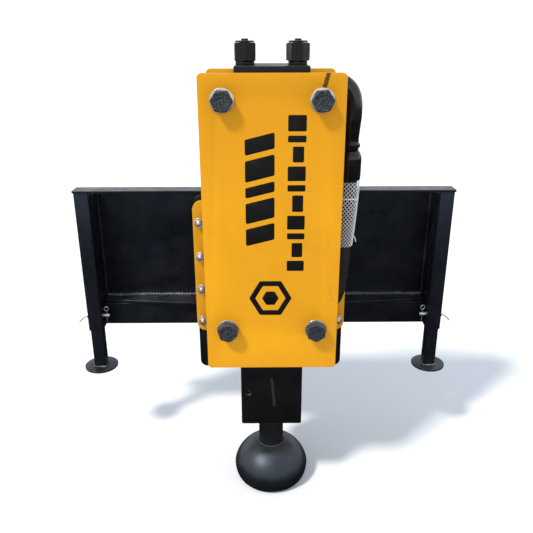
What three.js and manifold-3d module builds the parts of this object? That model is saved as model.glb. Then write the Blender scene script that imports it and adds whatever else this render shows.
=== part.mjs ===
// Hydraulic breaker in a two-plate housing, fitted with a bell-shaped post driver and hung on a
// universal quick-attach frame with two telescoping parking legs.
//
// Every size below is in millimetres in the tool's own frame: X = 0, Y = 0 on the tool's axis, Z = 0
// at the bell's rim, -Y towards the front plate and +Y towards the carrier. The whole assembly is
// then moved so that the origin lies in the middle of the face that meets the carrier.
import * as THREE from "three";
import { mergeVertices, mergeGeometries } from "three/addons/utils/BufferGeometryUtils.js";
import Module from "manifold-3d";

const wasm = await Module();
wasm.setup();

const GAP = 0.3;                  // clearance left between parts that rest on each other
const ROUND = 24;                 // facets on a large round
const FINE = 14;                  // facets on a small round

// housing plates and the four bolts that clamp the breaker between them
const PLATE = { width: 350, bottom: 460, top: 1234, thick: 25, inner: 108, corner: 11 };
const CLAMP = { x: 118, low: 578, high: 1173, shank: 16.5, hole: 17.2, acrossFlats: 50 };
CLAMP.washer = 29;
CLAMP.washerThick = 5;
CLAMP.headHeight = 22;
CLAMP.nutHeight = 24;
CLAMP.tail = 5;

// breaker body, a stack of three blocks held together by four tie rods
const BODY = { halfWidth: 87.5, halfDepth: 107.7, noseHalfDepth: 95, chamfer: 4 };
const STACK = { noseBottom: 249, noseTop: 560, cylinderTop: 860, headTop: 1085, noseStep: 452 };
const TIE = { x: 70, y: 82, radius: 11, bottom: 470, nut: 17.5, nutHeight: 20 };

// tool, bell and their guides
const TOOL = { radius: 37.5, bottom: 75.3, top: 600, rise: 45, flatAt: 28 };
const BUSH = { inner: 37.9, outer: 50, lowBottom: 254, lowTop: 334, highBottom: 480, highTop: 548 };
const RETAINER = { z: 356, y: 42.5, radius: 14, halfLength: 82 };
const STOP_PIN = { x: -67, radius: 7.5, hole: 8, halfLength: 84 };
const BELL = { rim: 98, widest: 114, widestAt: 43, top: 123, neck: 38.8, wall: 14, socketFloor: 75 };
BELL.cavityTop = 52;
BELL.lip = 41;
BELL.lowerSwell = 1.74;
BELL.upperSwell = 1.68;

// piston, gas chamber and control valve
const PISTON = { rod: 35, land: 45, tail: 33, bottom: 646, landBottom: 690, landTop: 785, top: 980 };
const CHAMBER = { radius: 50, bottom: 950, top: 1060 };
const VALVE = { inner: 87.8, outer: 165, halfDepth: 45, bottom: 660, top: 850, spoolX: -111 };
VALVE.spoolRadius = 13;
VALVE.spoolBottom = 700;
VALVE.spoolTop = 812;

// hydraulic lines
const BAR = { halfWidth: 94, bottom: 1226, top: 1248, portX: 66, blockBottom: 1190 };
const COUPLING = { collar: 24, collarTop: 1256, acrossFlats: 51, top: 1300, stub: 15.5, bore: 13 };
const SUPPLY = { x: 201, y: -56, pipe: 17.3, pipeZ: 1207.7, hose: 19.5, net: 25 };
SUPPLY.ferrule = 28;
SUPPLY.elbowBottom = 1050;
SUPPLY.ferruleBottom = 968;
SUPPLY.netBottom = 790;
SUPPLY.portZ = 617;
SUPPLY.portFace = 137;
const RETURN = { hose: 16, portX: -143 };

// flange on the rear plate, adaptor plate on the frame, and the eight bolts that join them
const FLANGE = { halfWidth: 232, bottom: 441, top: 863, front: 133.3, back: 150, corner: 26 };
const ADAPTOR = { halfWidth: 229, bottom: 301, top: 876, front: 150.3, back: 166, corner: 22 };
const FLANGE_BOLT = { x: 212, low: 478, pitch: 106.7, rows: 4, shank: 8, hole: 8.6, acrossFlats: 24 };

// quick-attach frame, whose middle lies to one side of the tool's axis
const FRAME = { x: -18, halfWidth: 571.5, bottom: 424, top: 888, plateFront: 265, plateBack: 275 };
FRAME.plateTop = 868;
FRAME.lipStep = 3;
FRAME.lipReach = 35;
FRAME.lipDrop = 38;
FRAME.lockFlange = 62;
FRAME.lockSlotX = 515;
const SHELF = { bottom: 498, top: 508, endFront: 226, middleFront: 195, apronFront: 219, apronBack: 229 };
const SLEEVE = { size: 45, wall: 3, front: 166 };
const LEG = { size: 38, wall: 3, top: 824, footTop: 288, footThick: 6, footRadius: 54 };
const LEG_PIN = { z: 469, radius: 6, slotBottom: 430, slotTop: 756, spareHole: 346 };
const SLEEVE_CENTRE_Y = SLEEVE.front + SLEEVE.size / 2;
const SLEEVE_CENTRE_X = FRAME.halfWidth - SLEEVE.size / 2;

const paint = (color, roughness, metalness = 0) =>
  new THREE.MeshStandardMaterial({ color, roughness, metalness });
const yellow = () => paint(0xf0a81c, 0.45);
const black = () => paint(0x1c1f22, 0.4);
const blacked = () => paint(0x34383c, 0.5, 0.7);
const zinc = () => paint(0xc9cbc8, 0.35, 0.9);
const steel = () => paint(0x8c8f91, 0.35, 0.9);
const rubber = () => paint(0x17181a, 0.7);

// ---- shapes -----------------------------------------------------------------------------------

function solid(geometry) {
  const bare = geometry.clone();
  bare.deleteAttribute("normal");
  bare.deleteAttribute("uv");
  const merged = mergeVertices(bare, 1e-4);
  const vertProperties = new Float32Array(merged.attributes.position.array);
  const triVerts = new Uint32Array(merged.index.array);
  return new wasm.Manifold(new wasm.Mesh({ numProp: 3, vertProperties, triVerts }));
}

function geometryOf(shape) {
  const mesh = shape.getMesh();
  const geometry = new THREE.BufferGeometry();
  geometry.setAttribute("position", new THREE.BufferAttribute(mesh.vertProperties, 3));
  geometry.setIndex(new THREE.BufferAttribute(mesh.triVerts, 1));
  return geometry;
}

function box([x0, y0, z0], [x1, y1, z1]) {
  const geometry = new THREE.BoxGeometry(x1 - x0, y1 - y0, z1 - z0);
  geometry.translate((x0 + x1) / 2, (y0 + y1) / 2, (z0 + z1) / 2);
  return solid(geometry);
}

// a round or many-sided bar between two points
function bar(from, to, radius, sides = ROUND, turn = 0) {
  const start = new THREE.Vector3(...from);
  const along = new THREE.Vector3(...to).sub(start);
  const geometry = new THREE.CylinderGeometry(radius, radius, along.length(), sides);
  geometry.rotateY(turn);
  geometry.translate(0, along.length() / 2, 0);
  const up = new THREE.Vector3(0, 1, 0);
  geometry.applyQuaternion(new THREE.Quaternion().setFromUnitVectors(up, along.normalize()));
  geometry.translate(start.x, start.y, start.z);
  return solid(geometry);
}

const hexBar = (from, to, acrossFlats, turn = 0) =>
  bar(from, to, acrossFlats / Math.sqrt(3), 6, turn);

// a turned part: profile points are [radius, height], from the axis at the bottom to the axis at the top
function turned(profile, [x, y] = [0, 0], sides = ROUND) {
  const points = profile.map(([radius, height]) => new THREE.Vector2(radius, height));
  const geometry = new THREE.LatheGeometry(points, sides);
  geometry.rotateX(Math.PI / 2);
  geometry.translate(x, y, 0);
  return solid(geometry);
}

function roundedOutline(left, right, bottom, top, radius) {
  const shape = new THREE.Shape();
  shape.moveTo(left + radius, bottom);
  shape.lineTo(right - radius, bottom);
  shape.absarc(right - radius, bottom + radius, radius, -Math.PI / 2, 0);
  shape.lineTo(right, top - radius);
  shape.absarc(right - radius, top - radius, radius, 0, Math.PI / 2);
  shape.lineTo(left + radius, top);
  shape.absarc(left + radius, top - radius, radius, Math.PI / 2, Math.PI);
  shape.lineTo(left, bottom + radius);
  shape.absarc(left + radius, bottom + radius, radius, Math.PI, Math.PI * 1.5);
  return shape;
}

// an upright plate: outline in X and Z, between two Y values
function uprightPlate(outline, front, back) {
  const settings = { depth: back - front, bevelEnabled: false, curveSegments: 4 };
  const geometry = new THREE.ExtrudeGeometry(outline, settings);
  geometry.rotateX(Math.PI / 2);
  geometry.translate(0, back, 0);
  return solid(geometry);
}

// a level plate: outline in X and Y, between two heights
function levelPlate(points, bottom, top) {
  const outline = new THREE.Shape(points.map(([x, y]) => new THREE.Vector2(x, y)));
  const geometry = new THREE.ExtrudeGeometry(outline, { depth: top - bottom, bevelEnabled: false });
  geometry.translate(0, 0, bottom);
  return solid(geometry);
}

// a rolled section: outline in Y and Z, between two X values
function longSection(points, left, right) {
  const outline = new THREE.Shape(points.map(([y, z]) => new THREE.Vector2(y, z)));
  const geometry = new THREE.ExtrudeGeometry(outline, { depth: right - left, bevelEnabled: false });
  geometry.rotateY(Math.PI / 2);
  geometry.rotateX(Math.PI / 2);
  geometry.translate(left, 0, 0);
  return solid(geometry);
}

// a tube or hose along a smooth path
function hose(points, radius, steps, sides = 12) {
  const path = new THREE.CatmullRomCurve3(points.map((point) => new THREE.Vector3(...point)));
  const section = new THREE.Shape();
  section.absarc(0, 0, radius, 0, Math.PI * 2);
  const settings = { extrudePath: path, steps, curveSegments: sides, bevelEnabled: false };
  return solid(new THREE.ExtrudeGeometry(section, settings));
}

function joined(shapes) {
  return shapes.reduce((whole, shape) => whole.add(shape));
}

function cut(shape, tools) {
  return tools.reduce((rest, tool) => rest.subtract(tool), shape);
}

// ---- assembly ---------------------------------------------------------------------------------

const breaker = new THREE.Group();
const assembly = new THREE.Group();
assembly.position.set(-FRAME.x, -FRAME.plateBack, -(FRAME.bottom + FRAME.top) / 2);
breaker.add(assembly);

function place(name, shape, material) {
  const mesh = new THREE.Mesh(geometryOf(shape), material);
  mesh.name = name;
  assembly.add(mesh);
}

const clampPlaces = [
  [-CLAMP.x, CLAMP.high],
  [CLAMP.x, CLAMP.high],
  [-CLAMP.x, CLAMP.low],
  [CLAMP.x, CLAMP.low],
];
const sides = [["left", -1], ["right", 1]];

function addHousing() {
  const outline = () =>
    roundedOutline(-PLATE.width / 2, PLATE.width / 2, PLATE.bottom, PLATE.top, PLATE.corner);
  const outer = PLATE.inner + PLATE.thick;
  const holes = clampPlaces.map(([x, z]) => bar([x, -200, z], [x, 200, z], CLAMP.hole, FINE));
  place("front_plate", cut(uprightPlate(outline(), -outer, -PLATE.inner), holes), yellow());
  place("rear_plate", cut(uprightPlate(outline(), PLATE.inner, outer), holes), yellow());

  const turns = [0.25, 0.42, 0.1, 0.33];
  clampPlaces.forEach(([x, z], index) => {
    const front = -outer - GAP;
    const back = outer + GAP;
    const seat = front - CLAMP.washerThick;
    place(`clamp_bolt_${index + 1}`, joined([
      hexBar([x, seat - CLAMP.headHeight, z], [x, seat + 0.5, z], CLAMP.acrossFlats, turns[index]),
      bar([x, seat, z], [x, front, z], CLAMP.washer, FINE),
      bar([x, seat, z], [x, back + CLAMP.nutHeight + CLAMP.tail, z], CLAMP.shank, FINE),
      hexBar([x, back, z], [x, back + CLAMP.nutHeight, z], CLAMP.acrossFlats, turns[index] + 0.3),
    ]), blacked());
  });
}

function block(bottom, top, halfDepth) {
  const { halfWidth, chamfer } = BODY;
  return levelPlate([
    [-halfWidth + chamfer, -halfDepth],
    [halfWidth - chamfer, -halfDepth],
    [halfWidth, -halfDepth + chamfer],
    [halfWidth, halfDepth - chamfer],
    [halfWidth - chamfer, halfDepth],
    [-halfWidth + chamfer, halfDepth],
    [-halfWidth, halfDepth - chamfer],
    [-halfWidth, -halfDepth + chamfer],
  ], bottom, top);
}

function bore(radius, bottom, top, [x, y] = [0, 0], facets = ROUND) {
  return bar([x, y, bottom], [x, y, top], radius, facets);
}

function addBreakerBody() {
  const tiePlaces = [[-1, -1], [1, -1], [-1, 1], [1, 1]].map(([i, j]) => [i * TIE.x, j * TIE.y]);
  const tieHoles = tiePlaces.map((at) => bore(TIE.radius + 0.5, TIE.bottom - 2, 2000, at, 12));
  const { noseBottom, noseTop, cylinderTop, headTop, noseStep } = STACK;

  const pinHoles = [-RETAINER.y, RETAINER.y].map((y) =>
    bar([-200, y, RETAINER.z], [200, y, RETAINER.z], RETAINER.radius + 0.4, FINE));
  const stopHole = bar([STOP_PIN.x, -200, RETAINER.z], [STOP_PIN.x, 200, RETAINER.z], STOP_PIN.hole, 12);
  const nose = block(noseBottom, noseTop, BODY.noseHalfDepth).add(
    block(noseStep, noseTop, BODY.halfDepth));
  place("front_head", cut(nose, [
    bore(TOOL.radius + 1, 0, 1000),
    bore(BUSH.outer + 0.4, BUSH.lowBottom - GAP, BUSH.lowTop + GAP),
    bore(BUSH.outer + 0.4, BUSH.highBottom - GAP, noseTop + 1),
    bore(BUSH.outer + 0.4, noseBottom - 1, BUSH.lowBottom),
    ...tieHoles,
    ...pinHoles,
    stopHole,
  ]), black());

  place("cylinder", cut(block(noseTop + GAP, cylinderTop, BODY.halfDepth), [
    bore(TOOL.radius + 1.3, 0, PISTON.bottom + 10),
    bore(PISTON.land + GAP, PISTON.landBottom - 5, 1000),
    bore(PISTON.rod + 0.6, 0, 1000),
    ...tieHoles,
  ]), steel());

  place("back_head", cut(block(cylinderTop + GAP, headTop, BODY.halfDepth), [
    bore(PISTON.tail + 0.6, 0, CHAMBER.bottom + 1),
    bore(CHAMBER.radius, CHAMBER.bottom, CHAMBER.top),
    ...tieHoles,
  ]), black());

  tiePlaces.forEach(([x, y], index) => {
    place(`tie_rod_${index + 1}`, joined([
      bore(TIE.radius, TIE.bottom, headTop + TIE.nutHeight + 6, [x, y], 12),
      hexBar([x, y, headTop + GAP], [x, y, headTop + TIE.nutHeight], TIE.nut * Math.sqrt(3)),
    ]), blacked());
  });

  const ring = (bottom, top) => turned([
    [BUSH.inner, bottom],
    [BUSH.outer, bottom],
    [BUSH.outer, top],
    [BUSH.inner, top],
    [BUSH.inner, bottom],
  ]);
  place("lower_bush", ring(BUSH.lowBottom, BUSH.lowTop), steel());
  place("upper_bush", ring(BUSH.highBottom, BUSH.highTop), steel());

  [["front", -1], ["rear", 1]].forEach(([side, sign]) => {
    const y = sign * RETAINER.y;
    const pin = bar([-RETAINER.halfLength, y, RETAINER.z], [RETAINER.halfLength, y, RETAINER.z],
      RETAINER.radius, FINE);
    place(`retainer_pin_${side}`, cut(pin, [stopHole]), steel());
  });
  place("stop_pin", bar([STOP_PIN.x, -STOP_PIN.halfLength, RETAINER.z],
    [STOP_PIN.x, STOP_PIN.halfLength, RETAINER.z], STOP_PIN.radius, 12), steel());
}

function addTool() {
  const { radius, bottom, top, rise, flatAt } = TOOL;
  const chamfer = 6;
  const shank = turned([
    [0, bottom],
    [radius, bottom],
    [radius, top - chamfer],
    [radius - chamfer, top],
    [0, top],
  ]);
  const flatBottom = RETAINER.z - RETAINER.radius - rise - 0.6;
  const flatTop = RETAINER.z + RETAINER.radius + GAP;
  place("tool_shank", cut(shank, [
    box([-60, -60, flatBottom], [60, -flatAt, flatTop]),
    box([-60, flatAt, flatBottom], [60, 60, flatTop]),
  ]), blacked());

  const outline = [[0, BELL.cavityTop]];
  const inside = BELL.rim - BELL.wall;
  for (let step = 1; step <= 6; step += 1) {
    const angle = (step / 6) * Math.PI / 2;
    outline.push([inside * Math.sin(angle), BELL.cavityTop * Math.cos(angle)]);
  }
  for (let step = 0; step <= 6; step += 1) {
    const share = step / 6;
    const swell = (1 - (1 - share) ** BELL.lowerSwell) ** (1 / BELL.lowerSwell);
    outline.push([BELL.rim + (BELL.widest - BELL.rim) * swell, BELL.widestAt * share]);
  }
  for (let step = 1; step <= 11; step += 1) {
    const angle = (step / 12) * Math.PI / 2;
    const across = Math.cos(angle) ** (2 / BELL.upperSwell);
    const up = Math.sin(angle) ** (2 / BELL.upperSwell);
    outline.push([BELL.neck + (BELL.widest - BELL.neck) * across,
      BELL.widestAt + (BELL.top - BELL.widestAt) * up]);
  }
  outline.push([BELL.lip, BELL.top], [TOOL.radius + GAP, BELL.top]);
  outline.push([TOOL.radius + GAP, BELL.socketFloor], [0, BELL.socketFloor]);
  place("driver_bell", turned(outline), blacked());
}

function addPistonAndValve() {
  place("piston", turned([
    [0, PISTON.bottom],
    [PISTON.rod, PISTON.bottom],
    [PISTON.rod, PISTON.landBottom],
    [PISTON.land, PISTON.landBottom],
    [PISTON.land, PISTON.landTop],
    [PISTON.tail, PISTON.landTop],
    [PISTON.tail, PISTON.top],
    [0, PISTON.top],
  ]), steel());

  const { inner, outer, halfDepth, bottom, top, spoolX, spoolRadius } = VALVE;
  const body = box([-outer, -halfDepth, bottom], [-inner, halfDepth, top]);
  place("valve_body", cut(body, [
    bore(spoolRadius + GAP, VALVE.spoolBottom - GAP, top + 1, [spoolX, 0], FINE),
    bore(12.5, top - 30, top + 1, [RETURN.portX, 0], FINE),
  ]), steel());
  place("valve_spool", turned([
    [0, VALVE.spoolBottom],
    [spoolRadius, VALVE.spoolBottom],
    [spoolRadius, VALVE.spoolBottom + 30],
    [spoolRadius - 4, VALVE.spoolBottom + 34],
    [spoolRadius - 4, VALVE.spoolTop - 34],
    [spoolRadius, VALVE.spoolTop - 30],
    [spoolRadius, VALVE.spoolTop],
    [0, VALVE.spoolTop],
  ], [spoolX, 0], FINE), steel());
  place("valve_cap", box([spoolX - 17, -32, top + GAP], [spoolX + 20, 32, top + 22]), blacked());

  const gasZ = (CHAMBER.bottom + CHAMBER.top) / 2;
  const face = BODY.halfWidth + GAP;
  place("gas_valve", joined([
    hexBar([face, 20, gasZ], [face + 14, 20, gasZ], 27),
    bar([face + 13, 20, gasZ], [face + 26, 20, gasZ], 9, FINE),
  ]), zinc());
}

function addHydraulics() {
  const bridge = BODY.halfDepth;
  const shell = joined([
    box([-BAR.halfWidth, -bridge, BAR.bottom], [BAR.halfWidth, bridge, BAR.top]),
    box([BAR.portX - 22, -80, BAR.blockBottom], [BAR.portX + 22, 24, BAR.bottom + 1]),
    box([-BAR.portX - 22, -24, BAR.blockBottom], [-BAR.portX + 22, 24, BAR.bottom + 1]),
  ]);
  const stubHoles = sides.map(([, sign]) => bore(COUPLING.stub + 0.4, 1198, 1300,
    [sign * BAR.portX, 0], FINE));
  place("bulkhead_bar", cut(shell, stubHoles), black());

  sides.forEach(([side, sign]) => {
    const at = [sign * BAR.portX, 0];
    const nut = hexBar([...at, COUPLING.collarTop - 0.5], [...at, COUPLING.top],
      COUPLING.acrossFlats, sign > 0 ? 0.42 : 0.1);
    const body = joined([
      nut,
      bore(COUPLING.collar, BAR.top + GAP, COUPLING.collarTop, at, 24),
      bore(COUPLING.stub, 1200, COUPLING.collarTop, at, FINE),
    ]);
    place(`coupling_${side}`, cut(body, [bore(COUPLING.bore, 1262, 1400, at, FINE)]), blacked());
    place(`dust_plug_${side}`, turned([
      [0, 1272],
      [COUPLING.bore - 0.5, 1272],
      [COUPLING.bore - 0.5, COUPLING.top + GAP],
      [23.5, COUPLING.top + GAP],
      [23.5, COUPLING.top + 4],
      [8.5, COUPLING.top + 4.5],
      [8.5, COUPLING.top + 9],
      [0, COUPLING.top + 9],
    ], at, 24), rubber());
  });

  const { x, y, pipeZ, pipe } = SUPPLY;
  const bendStart = 152;
  const elbow = joined([
    bar([BAR.portX + 22 + GAP, y, pipeZ], [bendStart + 6, y, pipeZ], pipe, 16),
    hose([
      [bendStart, y, pipeZ],
      [168, y, pipeZ - 1],
      [186, y, pipeZ - 9],
      [198, y, pipeZ - 26],
      [x, y, pipeZ - 50],
      [x, y, pipeZ - 84],
    ], 23.3, 14, 8),
    turned([
      [0, SUPPLY.elbowBottom - 6],
      [19, SUPPLY.elbowBottom - 6],
      [19, SUPPLY.elbowBottom + 1],
      [22.5, SUPPLY.elbowBottom + 2],
      [22.5, SUPPLY.elbowBottom + 11],
      [18.5, SUPPLY.elbowBottom + 14],
      [18.8, SUPPLY.elbowBottom + 26],
      [22, SUPPLY.elbowBottom + 62],
      [23.3, pipeZ - 80],
      [0, pipeZ - 80],
    ], [x, y], 16),
  ]);
  place("supply_elbow", elbow, black());
  place("supply_ferrule", turned([
    [0, SUPPLY.ferruleBottom],
    [SUPPLY.ferrule - 1, SUPPLY.ferruleBottom],
    [SUPPLY.ferrule, SUPPLY.elbowBottom - 24],
    [SUPPLY.ferrule - 3, SUPPLY.elbowBottom - 13],
    [20, SUPPLY.elbowBottom - 6 - GAP],
    [0, SUPPLY.elbowBottom - 6 - GAP],
  ], [x, y], 20), black());

  const hoseRun = [
    [x, y, SUPPLY.ferruleBottom - GAP],
    [x, y, SUPPLY.ferruleBottom - 30],
    [x - 3, y, 880],
    [x - 8, y, SUPPLY.netBottom],
    [x - 14, y, 715],
    [x - 22, y, 662],
    [x - 36, y, 630],
    [SUPPLY.portFace + 12, y, SUPPLY.portZ],
    [SUPPLY.portFace + GAP, y, SUPPLY.portZ],
  ];
  place("supply_hose", hose(hoseRun, SUPPLY.hose, 32, 6), rubber());
  const around = hose(hoseRun, SUPPLY.net, 32, 6);
  const within = hose(hoseRun, SUPPLY.hose + 0.6, 32, 6);
  const netZone = box([0, -200, SUPPLY.netBottom], [400, 200, SUPPLY.ferruleBottom - 2]);
  place("hose_net", around.subtract(within).intersect(netZone), paint(0xb9bdbb, 0.6));

  const face = BODY.halfWidth + GAP;
  place("supply_adaptor", joined([
    hexBar([face, y, SUPPLY.portZ], [SUPPLY.portFace - 12, y, SUPPLY.portZ], 34),
    bar([face, y, SUPPLY.portZ], [SUPPLY.portFace, y, SUPPLY.portZ], 15, FINE),
  ]), zinc());
  place("return_adaptor", joined([
    hexBar([RETURN.portX, 0, VALVE.top + GAP], [RETURN.portX, 0, VALVE.top + 20], 28),
    bore(11, VALVE.top - 20, VALVE.top + 30, [RETURN.portX, 0], FINE),
  ]), zinc());
  place("return_hose", hose([
    [-BAR.portX, 0, BAR.blockBottom - 1],
    [-BAR.portX, 0, 1170],
    [-BAR.portX - 12, 0, 1136],
    [-105, 0, 1110],
    [-131, 0, 1072],
    [RETURN.portX, 0, 1015],
    [RETURN.portX, 0, 950],
    [RETURN.portX, 0, 910],
    [RETURN.portX, 0, VALVE.top + 31],
  ], RETURN.hose, 26, 6), rubber());
}

function addFlanges() {
  const boltPlaces = [];
  sides.forEach(([, sign]) => {
    for (let row = 0; row < FLANGE_BOLT.rows; row += 1) {
      boltPlaces.push([sign * FLANGE_BOLT.x, FLANGE_BOLT.low + row * FLANGE_BOLT.pitch]);
    }
  });
  const boltHoles = boltPlaces.map(([x, z]) => bar([x, 100, z], [x, 200, z], FLANGE_BOLT.hole, 12));
  const nutHoles = [-CLAMP.x, CLAMP.x].map((x) =>
    bar([x, 120, CLAMP.low], [x, 180, CLAMP.low], 38, 24));

  const flangeOutline = roundedOutline(-FLANGE.halfWidth, FLANGE.halfWidth, FLANGE.bottom,
    FLANGE.top, FLANGE.corner);
  const flange = uprightPlate(flangeOutline, FLANGE.front, FLANGE.back);
  place("flange_plate", cut(flange, [...boltHoles, ...nutHoles]), yellow());

  const adaptorOutline = roundedOutline(-ADAPTOR.halfWidth, ADAPTOR.halfWidth, ADAPTOR.bottom,
    ADAPTOR.top, ADAPTOR.corner);
  const ribBottom = SHELF.top + GAP;
  const ribs = [-1, 1].map((sign) => box([sign * 70 - 6, ADAPTOR.back - 1, ribBottom],
    [sign * 70 + 6, FRAME.plateFront - GAP, ADAPTOR.top - 12]));
  const adaptor = joined([uprightPlate(adaptorOutline, ADAPTOR.front, ADAPTOR.back), ...ribs]);
  place("adaptor_plate", cut(adaptor, [...boltHoles, ...nutHoles]), black());

  boltPlaces.forEach(([x, z], index) => {
    const front = FLANGE.front - GAP;
    const back = ADAPTOR.back + GAP;
    place(`flange_bolt_${index + 1}`, joined([
      bar([x, front - 3, z], [x, front, z], 15, 16),
      hexBar([x, front - 16, z], [x, front - 2.5, z], FLANGE_BOLT.acrossFlats, index),
      bar([x, front - 24, z], [x, back + 3, z], FLANGE_BOLT.shank, 12),
      hexBar([x, back, z], [x, back + 10, z], FLANGE_BOLT.acrossFlats, index + 0.4),
    ]), zinc());
  });
}

function addFrame() {
  const { x, halfWidth, bottom, top, plateFront, plateBack, plateTop } = FRAME;
  const left = x - halfWidth;
  const right = x + halfWidth;
  const thick = plateBack - plateFront;
  const lipEnd = plateBack + FRAME.lipReach;
  const section = longSection([
    [plateFront, bottom],
    [plateBack + FRAME.lockFlange, bottom],
    [plateBack + FRAME.lockFlange, bottom + thick],
    [plateBack, bottom + thick],
    [plateBack, plateTop - 15],
    [plateBack + FRAME.lipStep, plateTop - 15],
    [lipEnd - 7, plateTop - FRAME.lipDrop],
    [lipEnd, plateTop - FRAME.lipDrop + 7],
    [plateBack + 4, plateTop],
    [plateFront, plateTop],
  ], left, right);
  const lockSlots = [-1, 1].map((sign) => {
    const slotX = x + sign * FRAME.lockSlotX;
    return box([slotX - 34, plateBack + 16, bottom - 5], [slotX + 34, plateBack + 46, bottom + 15]);
  });
  place("quick_attach_plate", cut(section, lockSlots), black());

  const sleeveBack = SLEEVE.front + SLEEVE.size;
  place("top_plate", box([left - 2, SLEEVE.front - 5, top - 7], [right + 2, sleeveBack + 4, top]), black());

  const inner = halfWidth - SLEEVE.size - GAP;
  const waist = ADAPTOR.halfWidth;
  place("shelf", levelPlate([
    [x - inner, plateFront - GAP],
    [x - inner, SHELF.endFront],
    [-waist, SHELF.middleFront],
    [waist, SHELF.middleFront],
    [x + inner, SHELF.endFront],
    [x + inner, plateFront - GAP],
  ], SHELF.bottom, SHELF.top), black());
  place("apron", box([x - inner, SHELF.apronFront, bottom],
    [x + inner, SHELF.apronBack, SHELF.bottom - GAP]), black());
}

function addLeg(side, sign) {
  const centreX = FRAME.x + sign * SLEEVE_CENTRE_X;
  const centreY = SLEEVE_CENTRE_Y;
  const tube = (size, wall, bottom, top) => {
    const half = size / 2;
    const open = half - wall;
    return cut(box([centreX - half, centreY - half, bottom], [centreX + half, centreY + half, top]), [
      box([centreX - open, centreY - open, bottom - 5], [centreX + open, centreY + open, top + 5]),
    ]);
  };
  const pinHole = bar([centreX - 60, centreY, LEG_PIN.z], [centreX + 60, centreY, LEG_PIN.z],
    LEG_PIN.radius + 0.5, FINE);

  const innerFace = centreX - sign * SLEEVE.size / 2;
  const webX = [innerFace, innerFace + sign * 8].sort((a, b) => a - b);
  const web = box([webX[0], SLEEVE.front + SLEEVE.size - 2, FRAME.bottom],
    [webX[1], FRAME.plateFront - GAP, FRAME.plateTop]);
  const sleeve = tube(SLEEVE.size, SLEEVE.wall, FRAME.bottom, FRAME.top - 7 - GAP).add(web);
  place(`leg_sleeve_${side}`, cut(sleeve, [pinHole]), black());

  const slotHalf = LEG_PIN.radius + 0.5;
  const foot = bore(LEG.footRadius, LEG.footTop - LEG.footThick, LEG.footTop + 0.2,
    [centreX, centreY], ROUND);
  const leg = tube(LEG.size, LEG.wall, LEG.footTop, LEG.top).add(foot);
  const spareHole = bar([centreX - 60, centreY, LEG_PIN.spareHole],
    [centreX + 60, centreY, LEG_PIN.spareHole], LEG_PIN.radius + 0.5, FINE);
  place(`leg_${side}`, cut(leg, [
    box([centreX - 60, centreY - slotHalf, LEG_PIN.slotBottom],
      [centreX + 60, centreY + slotHalf, LEG_PIN.slotTop]),
    spareHole,
  ]), black());

  const outerFace = centreX + sign * (SLEEVE.size / 2 + GAP);
  const pinEnd = innerFace - sign * 22;
  const clipX = innerFace - sign * 12;
  const wire = 2.2;
  const pin = joined([
    bar([outerFace + sign * 1, centreY, LEG_PIN.z], [pinEnd, centreY, LEG_PIN.z], LEG_PIN.radius, FINE),
    bar([outerFace, centreY, LEG_PIN.z], [outerFace + sign * 5, centreY, LEG_PIN.z], 10, FINE),
    hose([
      [outerFace + sign * 3, centreY, LEG_PIN.z],
      [outerFace + sign * 12, centreY - 1, LEG_PIN.z - 3],
      [outerFace + sign * 24, centreY - 3, LEG_PIN.z - 12],
      [outerFace + sign * 33, centreY - 5, LEG_PIN.z - 22],
    ], wire, 8, 4),
  ]);
  const clipHole = bore(wire + 0.3, LEG_PIN.z - 30, LEG_PIN.z + 30, [clipX, centreY], 10);
  place(`leg_pin_${side}`, cut(pin, [clipHole]), zinc());

  const ringRadius = 7;
  const ringAngles = [0, 1, 2, 3, 4, 5, 6, 7];
  const ringPoints = ringAngles.map((step) => [
    clipX + ringRadius * Math.sin(step * Math.PI * 0.24),
    centreY,
    LEG_PIN.z + 16 + ringRadius - ringRadius * Math.cos(step * Math.PI * 0.24),
  ]);
  place(`leg_clip_${side}`, joined([
    bore(wire - 0.2, LEG_PIN.z - 24, LEG_PIN.z + 17, [clipX, centreY], 8),
    hose(ringPoints, wire - 0.3, 16, 4),
  ]), zinc());
}

addHousing();
addBreakerBody();
addTool();
addPistonAndValve();
addHydraulics();
addFlanges();
addFrame();
sides.forEach(([side, sign]) => addLeg(side, sign));

export default breaker;
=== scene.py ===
import math
import random
import bpy
import bmesh
from mathutils import Matrix, Vector


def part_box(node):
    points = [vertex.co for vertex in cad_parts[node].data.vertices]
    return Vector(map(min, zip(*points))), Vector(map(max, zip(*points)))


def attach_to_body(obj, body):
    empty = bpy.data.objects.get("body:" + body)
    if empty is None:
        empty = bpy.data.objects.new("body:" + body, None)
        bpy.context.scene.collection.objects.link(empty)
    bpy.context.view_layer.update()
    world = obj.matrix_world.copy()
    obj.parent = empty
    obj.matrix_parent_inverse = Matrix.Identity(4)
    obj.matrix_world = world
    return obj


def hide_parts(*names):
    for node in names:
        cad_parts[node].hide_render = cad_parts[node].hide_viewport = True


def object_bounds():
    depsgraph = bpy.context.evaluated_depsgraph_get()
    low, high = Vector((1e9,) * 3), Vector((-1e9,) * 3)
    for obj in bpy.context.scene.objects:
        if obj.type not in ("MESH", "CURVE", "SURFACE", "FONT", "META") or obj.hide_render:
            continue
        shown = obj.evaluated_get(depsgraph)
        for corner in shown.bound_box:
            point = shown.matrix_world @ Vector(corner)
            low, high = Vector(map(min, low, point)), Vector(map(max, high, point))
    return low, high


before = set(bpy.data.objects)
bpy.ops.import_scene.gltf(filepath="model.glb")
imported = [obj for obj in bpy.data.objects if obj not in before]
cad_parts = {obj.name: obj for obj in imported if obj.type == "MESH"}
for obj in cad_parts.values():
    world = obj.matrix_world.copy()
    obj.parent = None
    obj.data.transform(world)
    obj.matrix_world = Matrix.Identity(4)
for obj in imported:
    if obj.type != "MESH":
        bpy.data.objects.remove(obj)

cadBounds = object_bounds()
rest = "housing_and_frame"
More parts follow.
